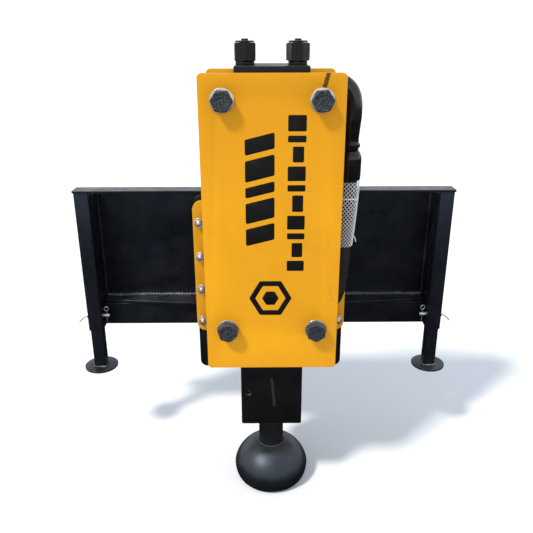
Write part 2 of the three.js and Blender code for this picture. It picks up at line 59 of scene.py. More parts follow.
mm = 0.001


# small helpers

def linear(hexColour):
    parts = [int(hexColour[i:i + 2], 16) / 255 for i in (1, 3, 5)]
    return [c / 12.92 if c <= 0.04045 else ((c + 0.055) / 1.055) ** 2.4 for c in parts] + [1.0]


def addNode(tree, kind, inputs=None, **settings):
    made = tree.nodes.new(kind)
    for name, value in settings.items():
        setattr(made, name, value)
    for key, value in (inputs or {}).items():
        socket = made.inputs[key]
        if isinstance(value, bpy.types.NodeSocket):
            tree.links.new(value, socket)
        else:
            socket.default_value = value
    return made


def newMaterial(name):
    material = bpy.data.materials.new(name)
    material.use_nodes = True
    tree = material.node_tree
    tree.nodes.clear()
    output = addNode(tree, "ShaderNodeOutputMaterial")
    shader = addNode(tree, "ShaderNodeBsdfPrincipled")
    tree.links.new(shader.outputs["BSDF"], output.inputs["Surface"])
    return material, tree, shader


def link(piece):
    bpy.context.scene.collection.objects.link(piece)
    return piece


def finishMesh(bm, name, sharpDegrees=35, mergeAt=1e-6):
    bmesh.ops.remove_doubles(bm, verts=bm.verts, dist=mergeAt)
    bmesh.ops.recalc_face_normals(bm, faces=bm.faces)
    mesh = bpy.data.meshes.new(name)
    bm.to_mesh(mesh)
    bm.free()
    mesh.shade_smooth()
    mesh.set_sharp_from_angle(angle=math.radians(sharpDegrees))
    return link(bpy.data.objects.new(name, mesh))


# puts a finished piece on its body and in its finish
def dress(piece, material, *nodes, body=rest):
    piece.data.materials.clear()
    piece.data.materials.append(material)
    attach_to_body(piece, body)
    if nodes:
        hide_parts(*nodes)
    return piece


def centre(node):
    low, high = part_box(node)
    return (low + high) / 2


# corners of a closed outline rounded off, each with its own radius
def roundCorners(points, radius, steps=5):
    out = []
    count = len(points)
    for i, point in enumerate(points):
        here = Vector(point)
        before = Vector(points[i - 1])
        after = Vector(points[(i + 1) % count])
        r = radius[i] if isinstance(radius, (list, tuple)) else radius
        if r <= 0:
            out.append(tuple(here))
            continue
        a = (before - here).normalized()
        b = (after - here).normalized()
        half = a.angle(b) / 2
        reach = min(r / math.tan(half), (before - here).length * 0.49, (after - here).length * 0.49)
        r = reach * math.tan(half)
        middle = here + (a + b).normalized() * (r / math.sin(half))
        start = here + a * reach - middle
        end = here + b * reach - middle
        turn = start.angle_signed(end)
        for k in range(steps + 1):
            angle = -turn * k / steps
            c, s = math.cos(angle), math.sin(angle)
            out.append((middle.x + start.x * c - start.y * s, middle.y + start.x * s + start.y * c))
    return out


def circleLoop(x, y, radius, count=40):
    return [(x + radius * math.cos(t), y + radius * math.sin(t))
            for t in (2 * math.pi * k / count for k in range(count))]


def area(loop):
    return sum(a[0] * b[1] - b[0] * a[1] for a, b in zip(loop, loop[1:] + loop[:1])) / 2


# a plate cut from an outline and its holes, with its edges broken; thickness runs along +Z from 0
def platePart(loops, thick, edge, edgeSteps=2):
    curve = bpy.data.curves.new("plateOutline", "CURVE")
    curve.dimensions = "2D"
    curve.fill_mode = "BOTH"
    curve.extrude = thick / 2 - edge
    curve.bevel_depth = edge
    curve.bevel_resolution = edgeSteps
    curve.offset = -edge
    for index, loop in enumerate(loops):
        ordered = list(loop)
        if (area(ordered) > 0) != (index == 0):
            ordered.reverse()
        spline = curve.splines.new("POLY")
        spline.points.add(len(ordered) - 1)
        for point, (x, y) in zip(spline.points, ordered):
            point.co = (x, y, 0, 1)
        spline.use_cyclic_u = True
    holder = link(bpy.data.objects.new("plateOutline", curve))
    graph = bpy.context.evaluated_depsgraph_get()
    mesh = bpy.data.meshes.new_from_object(holder.evaluated_get(graph))
    bm = bmesh.new()
    bm.from_mesh(mesh)
    bmesh.ops.translate(bm, verts=bm.verts, vec=(0, 0, thick / 2))
    bpy.data.objects.remove(holder)
    bpy.data.curves.remove(curve)
    bpy.data.meshes.remove(mesh)
    return bm


# local X, Y, Z of a part are turned to these directions of the frame, then moved
def turnTo(bm, xAxis, yAxis, zAxis, place):
    matrix = Matrix((xAxis, yAxis, zAxis)).transposed().to_4x4()
    matrix.translation = place
    bm.transform(matrix)
    return bm


# outline in X and Z, thickness from y0 towards +Y
def uprightPlate(loops, y0, y1, edge):
    bm = platePart(loops, y1 - y0, edge)
    return turnTo(bm, (1, 0, 0), (0, 0, 1), (0, -1, 0), (0, y1, 0))


def levelPlate(loops, z0, z1, edge):
    bm = platePart(loops, z1 - z0, edge)
    return turnTo(bm, (1, 0, 0), (0, 1, 0), (0, 0, 1), (0, 0, z0))


# outline in Y and Z, thickness from x0 towards +X
def sectionBar(loops, x0, x1, edge):
    bm = platePart(loops, x1 - x0, edge)
    return turnTo(bm, (0, 1, 0), (0, 0, 1), (1, 0, 0), (x0, 0, 0))


def rectangle(x0, x1, y0, y1):
    return [(x0, y0), (x1, y0), (x1, y1), (x0, y1)]


# a turned part: profile of (radius, height), closed on the axis where the radius is 0
def turnedPart(profile, segments=64, phase=0.0):
    bm = bmesh.new()
    rings = []
    for radius, height in profile:
        if radius < 1e-7:
            rings.append([bm.verts.new((0, 0, height))])
            continue
        rings.append([bm.verts.new((radius * math.cos(phase + 2 * math.pi * k / segments),
                                    radius * math.sin(phase + 2 * math.pi * k / segments), height))
                      for k in range(segments)])
    for a, b in zip(rings, rings[1:]):
        for k in range(segments):
            n = (k + 1) % segments
            if len(a) == 1 and len(b) == 1:
                continue
            if len(a) == 1:
                bm.faces.new((a[0], b[k], b[n]))
            elif len(b) == 1:
                bm.faces.new((a[k], a[n], b[0]))
            else:
                bm.faces.new((a[k], a[n], b[n], b[k]))
    return bm


# the profile's corners eased by a small radius, its ends kept
def easeProfile(points, radius, steps=3):
    out = [points[0]]
    for before, here, after in zip(points, points[1:], points[2:]):
        h, a, b = Vector(here), Vector(before), Vector(after)
        reach = min(radius, (a - h).length * 0.45, (b - h).length * 0.45)
        start = h + (a - h).normalized() * reach
        end = h + (b - h).normalized() * reach
        for k in range(steps + 1):
            t = k / steps
            out.append(tuple(start * (1 - t) ** 2 + h * 2 * t * (1 - t) + end * t ** 2))
    out.append(points[-1])
    return out


def axisMatrix(direction, place, turn=0.0):
    spin = Matrix.Rotation(turn, 4, "Z")
    lay = Vector(direction).to_track_quat("Z", "Y").to_matrix().to_4x4()
    return Matrix.Translation(place) @ lay @ spin


# a hexagon head or nut with the chamfer that a lathe leaves; ringed by a bore where hole is given
def hexPart(acrossFlats, height, hole=0.0, chamferBoth=False, perSide=6):
    flat = acrossFlats / 2
    seat = flat * 0.93
    outline = []
    for side in range(6):
        a = math.radians(60 * side - 30)
        b = math.radians(60 * side + 30)
        corner = flat / math.cos(math.radians(30))
        for k in range(perSide):
            t = k / perSide
            outline.append((corner * (math.cos(a) * (1 - t) + math.cos(b) * t),
                            corner * (math.sin(a) * (1 - t) + math.sin(b) * t)))
    count = len(outline)

    def fall(x, y):
        return max(0.0, math.hypot(x, y) - seat) * math.tan(math.radians(28))

    def circle(radius, z):
        return [(radius * math.cos(math.atan2(y, x)), radius * math.sin(math.atan2(y, x)), z)
                for x, y in outline]

    rows = []
    if hole:
        rows += [circle(hole, height * 0.5), circle(hole, 0.0008), circle(hole + 0.0008, 0)]
    else:
        rows += [circle(seat * 0.5, 0)]
    if chamferBoth:
        rows += [circle(seat, 0), [(x, y, fall(x, y)) for x, y in outline]]
    else:
        rows += [[(x * 0.985, y * 0.985, 0) for x, y in outline], [(x, y, 0.0004) for x, y in outline]]
    rows += [[(x, y, height - fall(x, y)) for x, y in outline], circle(seat, height)]
    if hole:
        rows += [circle(hole + 0.0012, height), circle(hole, height - 0.0012), circle(hole, height * 0.5)]
    else:
        rows += [circle(seat * 0.9, height - 0.0003), circle(seat * 0.4, height - 0.0006)]
    bm = bmesh.new()
    verts = [[bm.verts.new(p) for p in row] for row in rows]
    for a, b in zip(verts, verts[1:]):
        for k in range(count):
            n = (k + 1) % count
            bm.faces.new((a[k], a[n], b[n], b[k]))
    if not hole:
        bm.faces.new(list(reversed(verts[0])))
        bm.faces.new(verts[-1])
    return bm


# a threaded end: ridges a pitch apart
def threadedPart(radius, length, pitch=0.003, tip=0.0015):
    profile = [(0, 0), (radius, 0)]
    depth = pitch * 0.45
    turns = int((length - tip) / pitch)
    for k in range(turns):
        z = k * pitch
        profile += [(radius, z + pitch * 0.15), (radius - depth, z + pitch * 0.5),
                    (radius, z + pitch * 0.85)]
    profile += [(radius - depth, length - tip * 0.4), (radius - depth - 0.001, length), (0, length)]
    return turnedPart(profile, 32)


# a part turned on its axis with its corners eased
def easedTurn(points, radius, segments):
    return turnedPart(easeProfile(points, radius), segments)


def roundedBox(x0, x1, y0, y1, radius, steps=5):
    return roundCorners(rectangle(x0, x1, y0, y1), radius, steps)


def moved(part, x, y, z=0):
    part.transform(Matrix.Translation((x, y, z)))
    return part


# a part's Z turned to a direction
def laid(part, direction, place, turn=0.0):
    part.transform(axisMatrix(direction, place, turn))
    return part


def joinParts(parts):
    whole = bmesh.new()
    for part in parts:
        mesh = bpy.data.meshes.new("part")
        part.to_mesh(mesh)
        part.free()
        whole.from_mesh(mesh)
        bpy.data.meshes.remove(mesh)
    return whole


def smoothPath(points, count):
    # Catmull-Rom through the points, then evenly spaced
    pts = [Vector(p) for p in points]
    pts = [pts[0] * 2 - pts[1]] + pts + [pts[-1] * 2 - pts[-2]]
    dense = []
    for a, b, c, d in zip(pts, pts[1:], pts[2:], pts[3:]):
        for k in range(24):
            t = k / 24
            dense.append(0.5 * ((2 * b) + (c - a) * t + (2 * a - 5 * b + 4 * c - d) * t ** 2
                                + (3 * b - a - 3 * c + d) * t ** 3))
    dense.append(pts[-2])
    run = [0.0]
    for a, b in zip(dense, dense[1:]):
        run.append(run[-1] + (b - a).length)
    out = []
    j = 0
    for k in range(count):
        want = run[-1] * k / (count - 1)
        while j < len(run) - 2 and run[j + 1] < want:
            j += 1
        span = max(run[j + 1] - run[j], 1e-9)
        out.append(dense[j].lerp(dense[j + 1], min(1, (want - run[j]) / span)))
    return out


# a round tube along a path; radiusAt takes the share of the length, 0 to 1
def sweepPart(path, radiusAt, segments=32, capped=True):
    bm = bmesh.new()
    count = len(path)
    side = None
    rings = []
    for i, point in enumerate(path):
        ahead = path[min(i + 1, count - 1)] - path[max(i - 1, 0)]
        ahead.normalize()
        if side is None:
            side = ahead.orthogonal().normalized()
        side = (side - ahead * side.dot(ahead)).normalized()
        up = ahead.cross(side)
        radius = radiusAt(i / (count - 1)) if callable(radiusAt) else radiusAt
        rings.append([bm.verts.new(point + (side * math.cos(t) + up * math.sin(t)) * radius)
                      for t in (2 * math.pi * k / segments for k in range(segments))])
    for a, b in zip(rings, rings[1:]):
        for k in range(segments):
            n = (k + 1) % segments
            bm.faces.new((a[k], a[n], b[n], b[k]))
    if capped:
        bm.faces.new(list(reversed(rings[0])))
        bm.faces.new(rings[-1])
    return bm


# cuts tools out of a piece for good
def carve(piece, tools):
    for tool in tools:
        modifier = piece.modifiers.new("cut", "BOOLEAN")
        modifier.operation = "DIFFERENCE"
        modifier.solver = "EXACT"
        modifier.object = tool
        graph = bpy.context.evaluated_depsgraph_get()
        mesh = bpy.data.meshes.new_from_object(piece.evaluated_get(graph))
        piece.modifiers.clear()
        old = piece.data
        piece.data = mesh
        mesh.name = piece.name
        bpy.data.meshes.remove(old)
        bpy.data.objects.remove(tool)
    piece.data.shade_smooth()
    piece.data.set_sharp_from_angle(angle=math.radians(35))
    return piece


def rodTool(start, end, radius, segments=40):
    axis = Vector(end) - Vector(start)
    bm = laid(turnedPart([(0, 0), (radius, 0), (radius, axis.length), (0, axis.length)], segments), axis,
              start)
    return finishMesh(bm, "cutter")


def boxTool(low, high):
    bm = levelPlate([rectangle(low[0], high[0], low[1], high[1])], low[2], high[2], 0.0001)
    return finishMesh(bm, "cutter")


# camera, floor and light

view = {"place": (-0.0057, -1.8362, 0.6455), "yaw": 0.0067, "down": 0.3633, "roll": 0.0021,
        "lens": 39.9445}


def makeCamera():
    data = bpy.data.cameras.new("camera")
    data.sensor_width = 36
    data.lens = view["lens"]
    data.clip_end = 100
    camera = link(bpy.data.objects.new("camera", data))
    forward = Vector((math.sin(view["yaw"]) * math.cos(view["down"]),
                      math.cos(view["yaw"]) * math.cos(view["down"]), -math.sin(view["down"])))
    right = Vector((math.cos(view["yaw"]), -math.sin(view["yaw"]), 0))
    down = forward.cross(right)
    c, s = math.cos(view["roll"]), math.sin(view["roll"])
    matrix = Matrix((right * c + down * s, right * s - down * c, -forward)).transposed().to_4x4()
    matrix.translation = view["place"]
    camera.matrix_world = matrix
    bpy.context.scene.camera = camera


def makeStage():
    stage = {"floorDrop": 0.004, "floorSize": 60, "floor": "#F7F7F6", "sunAngle": 8, "sunPower": 2.5,
             "skyTop": "#C3D0E2", "skyLow": "#FFFFFF", "ground": "#1C1D20", "skyPower": 1.03}
    lowest = cadBounds[0][2] - stage["floorDrop"]
    size = stage["floorSize"]
    bm = levelPlate([rectangle(-size, size, -size, size)], lowest - 0.02, lowest, 0.001)
    floor = finishMesh(bm, "studioFloor")
    material, tree, shader = newMaterial("studio floor, matt painted board")
    shader.inputs["Base Color"].default_value = linear(stage["floor"])
    shader.inputs["Roughness"].default_value = 0.9
    shader.inputs["Specular IOR Level"].default_value = 0.1
    floor.data.materials.append(material)
    # gloss on the object mirrors the dark ground of the sky below instead of the bright board
    floor.visible_glossy = False

    sun = bpy.data.lights.new("sun", "SUN")
    sun.energy = stage["sunPower"]
    sun.angle = math.radians(stage["sunAngle"])
    sun.color = (1.0, 0.97, 0.92)
    holder = link(bpy.data.objects.new("sun", sun))
    holder.rotation_mode = "QUATERNION"
    holder.rotation_quaternion = Vector((0.47, 0.42, -0.78)).to_track_quat("-Z", "Y")

    world = bpy.data.worlds.new("studio sky")
    world.use_nodes = True
    bpy.context.scene.world = world
    tree = world.node_tree
    tree.nodes.clear()
    coords = addNode(tree, "ShaderNodeTexCoord")
    parts = addNode(tree, "ShaderNodeSeparateXYZ", {0: coords.outputs["Generated"]})
    rise = addNode(tree, "ShaderNodeMapRange", {"Value": parts.outputs["Z"], "From Min": 0.12,
                                                "From Max": 0.75})
    sky = addNode(tree, "ShaderNodeMix", {0: rise.outputs[0], 6: linear(stage["skyLow"]),
                                          7: linear(stage["skyTop"])}, data_type="RGBA")
    above = addNode(tree, "ShaderNodeMapRange", {"Value": parts.outputs["Z"], "From Min": -0.12,
                    "From Max": -0.02})
    whole = addNode(tree, "ShaderNodeMix", {0: above.outputs[0], 6: linear(stage["ground"]),
                                            7: sky.outputs[2]}, data_type="RGBA")
    glow = addNode(tree, "ShaderNodeBackground", {"Color": whole.outputs[2], "Strength": stage["skyPower"]})
    output = addNode(tree, "ShaderNodeOutputWorld")
    tree.links.new(glow.outputs[0], output.inputs["Surface"])


# a camera's plain curve, so that the paint keeps the strength of its colour
bpy.context.scene.view_settings.view_transform = "Standard"
makeCamera()
makeStage()
print("camera, floor and light placed")


# finishes

# where an edge has lost its paint, its pale colour also a painted highlight on the edge: 1 on a rubbed
# edge, 0 on the flat
def edgeWearAndGlint(tree, place, radius, amount):
    edge = addNode(tree, "ShaderNodeBevel", {"Radius": radius}, samples=4)
    flat = addNode(tree, "ShaderNodeNewGeometry")
    facing = addNode(tree, "ShaderNodeVectorMath", {0: edge.outputs[0], 1: flat.outputs["Normal"]},
                     operation="DOT_PRODUCT")
    patches = addNode(tree, "ShaderNodeTexNoise", {"Vector": place, "Scale": 38, "Detail": 6,
                      "Roughness": 0.7})
    bent = addNode(tree, "ShaderNodeMapRange", {"Value": facing.outputs["Value"], "From Min": 0.995,
                                                "From Max": 0.86, "To Max": amount})
    wearGlintPatches = addNode(tree, "ShaderNodeMapRange", {"Value": patches.outputs[0], "From Min": 0.46,
                    "From Max": 0.62})
    return addNode(tree, "ShaderNodeMath", {0: bent.outputs[0], 1: wearGlintPatches.outputs[0]},
                   operation="MULTIPLY").outputs[0]


# hairline scratches: the ridge of a stretched noise, broken up by a second one
def hairlines(tree, place, scale, width, share):
    lines = addNode(tree, "ShaderNodeTexNoise", {"Vector": place, "Scale": scale, "Detail": 1.5,
                    "Distortion": 0.8})
    away = addNode(tree, "ShaderNodeMath", {0: lines.outputs[0], 1: 0.5}, operation="SUBTRACT")
    size = addNode(tree, "ShaderNodeMath", {0: away.outputs[0]}, operation="ABSOLUTE")
    thin = addNode(tree, "ShaderNodeMapRange", {"Value": size.outputs[0], "From Min": width,
                                                "From Max": 0.0})
    where = addNode(tree, "ShaderNodeTexNoise", {"Vector": place, "Scale": scale * 1.7, "Detail": 3})
    kept = addNode(tree, "ShaderNodeMapRange", {"Value": where.outputs[0], "From Min": 1 - share,
                                                "From Max": 1.03 - share})
    return addNode(tree, "ShaderNodeMath", {0: thin.outputs[0], 1: kept.outputs[0]},
                   operation="MULTIPLY").outputs[0]


# dust that settles on faces looking up, lightening them also as a painted highlight, 0 to amount
def dustAndTopHighlight(tree, place, amount):
    flat = addNode(tree, "ShaderNodeNewGeometry")
    up = addNode(tree, "ShaderNodeSeparateXYZ", {0: flat.outputs["Normal"]})
    level = addNode(tree, "ShaderNodeMapRange", {"Value": up.outputs["Z"], "From Min": 0.25,
                    "From Max": 0.95, "To Min": 0.12})
    cloud = addNode(tree, "ShaderNodeTexNoise", {"Vector": place, "Scale": 14, "Detail": 8,
                    "Roughness": 0.65})
    soft = addNode(tree, "ShaderNodeMapRange", {"Value": cloud.outputs[0], "From Min": 0.35,
                                                "From Max": 0.75, "To Max": amount})
    return addNode(tree, "ShaderNodeMath", {0: level.outputs[0], 1: soft.outputs[0]},
                   operation="MULTIPLY").outputs[0]


# sprayed enamel over steel: an even coat with orange peel, slightly patchy, chipped to primer on its edges;
# a pale chip colour makes the edges a painted highlight
def sprayedEnamel(name, colour, deep, chipGlintColour, rough, dustHighlightAmount=0.2, wearGlintAmount=0.8, peel=0.25, scratches=0.3,
                  stroke=None, gloss=0.3, sheen="#FFFFFF", topShade=None):
    material, tree, shader = newMaterial(name)
    shader.inputs["Specular IOR Level"].default_value = gloss
    # the sheen colour tints every reflection; on the black paints it is a painted blue reflection of the
    # open sky
    shader.inputs["Specular Tint"].default_value = linear(sheen)
    place = addNode(tree, "ShaderNodeTexCoord").outputs["Object"]
    cloud = addNode(tree, "ShaderNodeTexNoise", {"Vector": place, "Scale": 5.5, "Detail": 7,
                    "Roughness": 0.6})
    toneAndTopShade = addNode(tree, "ShaderNodeMapRange", {"Value": cloud.outputs[0], "From Min": 0.35,
                    "From Max": 0.7})
    if topShade:
        # painted shade: the colour deepens towards the upper edge
        height = addNode(tree, "ShaderNodeSeparateXYZ", {0: place})
        thick = addNode(tree, "ShaderNodeMapRange", {"Value": height.outputs["Z"], "From Min": topShade[0],
                        "From Max": topShade[1], "To Max": 1.3})
        toneAndTopShade = addNode(tree, "ShaderNodeMath", {0: toneAndTopShade.outputs[0], 1: thick.outputs[0]},
                        operation="MAXIMUM")
    tint = addNode(tree, "ShaderNodeMix", {0: toneAndTopShade.outputs[0], 6: linear(colour), 7: linear(deep)},
                   data_type="RGBA")
    dustHighlightMask = dustAndTopHighlight(tree, place, dustHighlightAmount)
    # pale dust colour, also a painted highlight on faces looking up
    dustHighlightMix = addNode(tree, "ShaderNodeMix", {0: dustHighlightMask, 6: tint.outputs[2], 7: linear("#8D8980")},
                    data_type="RGBA")
    lines = hairlines(tree, place, 9, 0.0035, scratches)
    lined = addNode(tree, "ShaderNodeMath", {0: lines, 1: 0.45}, operation="MULTIPLY")
    scored = addNode(tree, "ShaderNodeMix", {0: lined.outputs[0], 6: dustHighlightMix.outputs[2], 7: linear(chipGlintColour)},
                     data_type="RGBA")
    wearGlintMask = edgeWearAndGlint(tree, place, 0.0022, wearGlintAmount)
    edged = addNode(tree, "ShaderNodeMix", {0: wearGlintMask, 6: scored.outputs[2], 7: linear(chipGlintColour)},
                    data_type="RGBA")
    last = edged.outputs[2]
    if stroke:
        # a swipe of marker: everything within its half width of the line between two points
        at = addNode(tree, "ShaderNodeVectorMath", {0: place, 1: stroke["from"]}, operation="SUBTRACT")
        along = Vector(stroke["to"]) - Vector(stroke["from"])
        run = addNode(tree, "ShaderNodeVectorMath", {0: at.outputs[0], 1: tuple(along.normalized())},
                      operation="DOT_PRODUCT")
        held = addNode(tree, "ShaderNodeMath", {0: run.outputs["Value"], 1: 0.0}, operation="MAXIMUM")
        held = addNode(tree, "ShaderNodeMath", {0: held.outputs[0], 1: along.length}, operation="MINIMUM")
        foot = addNode(tree, "ShaderNodeVectorMath",
                       {0: tuple(along.normalized()), "Scale": held.outputs[0]}, operation="SCALE")
        off = addNode(tree, "ShaderNodeVectorMath", {0: at.outputs[0], 1: foot.outputs[0]},
                      operation="DISTANCE")
        ragged = addNode(tree, "ShaderNodeTexNoise", {"Vector": place, "Scale": 220, "Detail": 2})
        wide = addNode(tree, "ShaderNodeMapRange", {"Value": ragged.outputs[0], "From Min": 0.0,
                       "From Max": 1.0, "To Min": stroke["width"] * 0.4, "To Max": stroke["width"] * 1.5})
        inside = addNode(tree, "ShaderNodeMath", {0: off.outputs["Value"], 1: wide.outputs[0]},
                         operation="LESS_THAN")
        faint = addNode(tree, "ShaderNodeMath", {0: inside.outputs[0], 1: 0.85}, operation="MULTIPLY")
        last = addNode(tree, "ShaderNodeMix", {0: faint.outputs[0], 6: last, 7: linear(stroke["ink"])},
                       data_type="RGBA").outputs[2]
    tree.links.new(last, shader.inputs["Base Color"])
    smear = addNode(tree, "ShaderNodeTexNoise", {"Vector": place, "Scale": 26, "Detail": 5})
    spread = addNode(tree, "ShaderNodeMapRange", {"Value": smear.outputs[0], "From Min": 0.3,
                     "From Max": 0.7, "To Min": rough - 0.05, "To Max": rough + 0.09})
    dull = addNode(tree, "ShaderNodeMath", {0: dustHighlightMask, 1: 0.5}, operation="MULTIPLY")
    grain = addNode(tree, "ShaderNodeMath", {0: spread.outputs[0], 1: dull.outputs[0]}, operation="ADD")
    tree.links.new(grain.outputs[0], shader.inputs["Roughness"])
    # orange peel, about 2.5 mm from crest to crest, and the plate's own slow waviness
    peelNoise = addNode(tree, "ShaderNodeTexNoise", {"Vector": place, "Scale": 400, "Detail": 2})
    wavy = addNode(tree, "ShaderNodeTexNoise", {"Vector": place, "Scale": 16, "Detail": 2})
    low = addNode(tree, "ShaderNodeBump", {"Height": wavy.outputs[0], "Distance": 0.0011, "Strength": 0.5})
    cutIn = addNode(tree, "ShaderNodeBump", {"Height": wearGlintMask, "Distance": 0.0004, "Strength": 0.6,
                                             "Normal": low.outputs[0]}, invert=True)
    high = addNode(tree, "ShaderNodeBump", {"Height": peelNoise.outputs[0], "Distance": 0.0002,
                                            "Strength": peel, "Normal": cutIn.outputs[0]})
    tree.links.new(high.outputs[0], shader.inputs["Normal"])
    return material


# bare or chemically blackened metal: fine grain, oily patches, bright where it is rubbed; on the black
# oxide the bright edges are also a painted highlight
def workedMetal(name, colour, wearGlintColour, rough, grainScale, wearGlintAmount=0.8, bump=0.3, stretch=(1, 1, 1), dustHighlightAmount=0.1,
                metallic=1.0, speck=0.0):
    material, tree, shader = newMaterial(name)
    shader.inputs["Metallic"].default_value = metallic
    place = addNode(tree, "ShaderNodeTexCoord").outputs["Object"]
    run = addNode(tree, "ShaderNodeMapping", {"Vector": place, "Scale": stretch})
    grain = addNode(tree, "ShaderNodeTexNoise", {"Vector": run.outputs[0], "Scale": grainScale,
                    "Detail": 4, "Roughness": 0.6})
    oily = addNode(tree, "ShaderNodeTexNoise", {"Vector": place, "Scale": 22, "Detail": 6,
                                                "Roughness": 0.7})
    shade = addNode(tree, "ShaderNodeMapRange", {"Value": oily.outputs[0], "From Min": 0.35,
                    "From Max": 0.7})
    dark = [c * 0.62 for c in linear(colour)[:3]] + [1.0]
    body = addNode(tree, "ShaderNodeMix", {0: shade.outputs[0], 6: linear(colour), 7: dark},
                   data_type="RGBA")
    dustHighlightMask = dustAndTopHighlight(tree, place, dustHighlightAmount)
    # pale dust colour, also a painted highlight on faces looking up
    dustHighlightMix = addNode(tree, "ShaderNodeMix", {0: dustHighlightMask, 6: body.outputs[2], 7: linear("#8F8C84")},
                    data_type="RGBA")
    wearGlintMask = edgeWearAndGlint(tree, place, 0.0012, wearGlintAmount)
    if speck:
        # forging scale: specks a few millimetres wide where the pale metal grins through
        scaleNoise = addNode(tree, "ShaderNodeTexNoise", {"Vector": place, "Scale": 230, "Detail": 5,
                             "Roughness": 0.8})
        specks = addNode(tree, "ShaderNodeMapRange", {"Value": scaleNoise.outputs[0], "From Min": 0.50,
                         "From Max": 0.66, "To Max": speck})
        wearGlintMask = addNode(tree, "ShaderNodeMath", {0: wearGlintMask, 1: specks.outputs[0]},
                       operation="MAXIMUM").outputs[0]
    final = addNode(tree, "ShaderNodeMix", {0: wearGlintMask, 6: dustHighlightMix.outputs[2], 7: linear(wearGlintColour)},
                    data_type="RGBA")
    tree.links.new(final.outputs[2], shader.inputs["Base Color"])
    spread = addNode(tree, "ShaderNodeMapRange", {"Value": oily.outputs[0], "From Min": 0.3,
                     "From Max": 0.7, "To Min": rough - 0.07, "To Max": rough + 0.12})
    tree.links.new(spread.outputs[0], shader.inputs["Roughness"])
    fine = addNode(tree, "ShaderNodeBump", {"Height": grain.outputs[0], "Distance": 0.0003,
                                            "Strength": bump})
    tree.links.new(fine.outputs[0], shader.inputs["Normal"])
    return material


# moulded rubber or plastic: a matt skin with a slow variation, a fine bump and, where asked for, a clear
# coat
def mouldedPolymer(name, colour, pale, rough, bumpScale=300, bump=0.2, coat=0.0, coatRough=0.1, dustHighlightAmount=0.15):
    material, tree, shader = newMaterial(name)
    shader.inputs["Specular IOR Level"].default_value = 0.3
    shader.inputs["Coat Weight"].default_value = coat
    shader.inputs["Coat Roughness"].default_value = coatRough
    place = addNode(tree, "ShaderNodeTexCoord").outputs["Object"]
    cloud = addNode(tree, "ShaderNodeTexNoise", {"Vector": place, "Scale": 30, "Detail": 6,
                    "Roughness": 0.65})
    shade = addNode(tree, "ShaderNodeMapRange", {"Value": cloud.outputs[0], "From Min": 0.4,
                    "From Max": 0.75})
    tint = addNode(tree, "ShaderNodeMix", {0: shade.outputs[0], 6: linear(colour), 7: linear(pale)},
                   data_type="RGBA")
    dustHighlightMask = dustAndTopHighlight(tree, place, dustHighlightAmount)
    # pale dust colour, also a painted highlight on faces looking up
    dustHighlightMix = addNode(tree, "ShaderNodeMix", {0: dustHighlightMask, 6: tint.outputs[2], 7: linear("#85827B")},
                    data_type="RGBA")
    tree.links.new(dustHighlightMix.outputs[2], shader.inputs["Base Color"])
    spread = addNode(tree, "ShaderNodeMapRange", {"Value": cloud.outputs[0], "From Min": 0.3,
                     "From Max": 0.7, "To Min": rough - 0.05, "To Max": rough + 0.08})
    tree.links.new(spread.outputs[0], shader.inputs["Roughness"])
    skin = addNode(tree, "ShaderNodeTexNoise", {"Vector": place, "Scale": bumpScale, "Detail": 3})
    fine = addNode(tree, "ShaderNodeBump", {"Height": skin.outputs[0], "Distance": 0.0003,
                                            "Strength": bump})
    tree.links.new(fine.outputs[0], shader.inputs["Normal"])
    return material


plateLow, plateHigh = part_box("front_plate")
plateMid = (plateLow + plateHigh) / 2
markerStroke = {"from": (plateMid.x + 0.130, plateLow.y, plateHigh.z),
                "to": (plateMid.x + 0.122, plateLow.y, plateHigh.z - 0.031), "width": 0.0055,
                "ink": "#20240E"}
headLow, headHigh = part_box("front_head")
headMid = (headLow + headHigh) / 2
# a run of grey overspray down the middle of the front head
greyRun = {"from": (headMid.x + 0.0005, headLow.y + 0.0127, headLow.z + 0.152),
           "to": (headMid.x + 0.008, headLow.y + 0.0127, headLow.z + 0.062), "width": 0.0034,
           "ink": "#2C2D2F"}

# alkyd machinery enamel, sprayed: warm orange-yellow, half gloss, chips down to grey primer
orangeEnamel = sprayedEnamel("orange machinery enamel, sprayed", "#DD9A03", "#CF8E05", "#6B5A3C", 0.42,
                             dustHighlightAmount=0.08, gloss=0.2)
# the front plate's enamel deepens towards its upper edge: painted shade
frontEnamel = sprayedEnamel("orange machinery enamel, sprayed, front plate", "#DD9A03", "#CF8E05",
                            "#6B5A3C", 0.42, dustHighlightAmount=0.08, scratches=0.4, stroke=markerStroke, gloss=0.2,
                            topShade=(plateLow.z + 0.36, plateHigh.z - 0.05))
# black chassis paint, sprayed: satin, slightly blue under an open sky from a painted blue sheen in its
# reflections, dusty on top and lightened there by a painted highlight
chassisBlack = sprayedEnamel("black chassis paint, sprayed", "#0B0D12", "#0F1218", "#4A4D50", 0.28,
                             dustHighlightAmount=0.2, wearGlintAmount=0.5, peel=0.3, gloss=0.7, sheen="#B9CAE6")
# the same paint on thick sawn plate and blocks
blockBlack = sprayedEnamel("black chassis paint on machined block", "#080808", "#0E0E0F", "#4C4F51", 0.38,
                           dustHighlightAmount=0.05, wearGlintAmount=0.55, gloss=0.3)
headBlack = sprayedEnamel("black chassis paint on machined front head", "#080808", "#0E0E0F", "#4C4F51",
                          0.38, dustHighlightAmount=0.05, wearGlintAmount=0.7, scratches=0.25, gloss=0.3, stroke=greyRun)
# spun steel bell, painted black and half gloss, with a painted blue sheen of the sky in its reflections
bellBlack = sprayedEnamel("black enamel on spun steel bell", "#080A0D", "#0E1216", "#3A3E43", 0.38,
                          dustHighlightAmount=0.16, wearGlintAmount=0.3, peel=0.8, gloss=1.0, sheen="#CBD9EE")
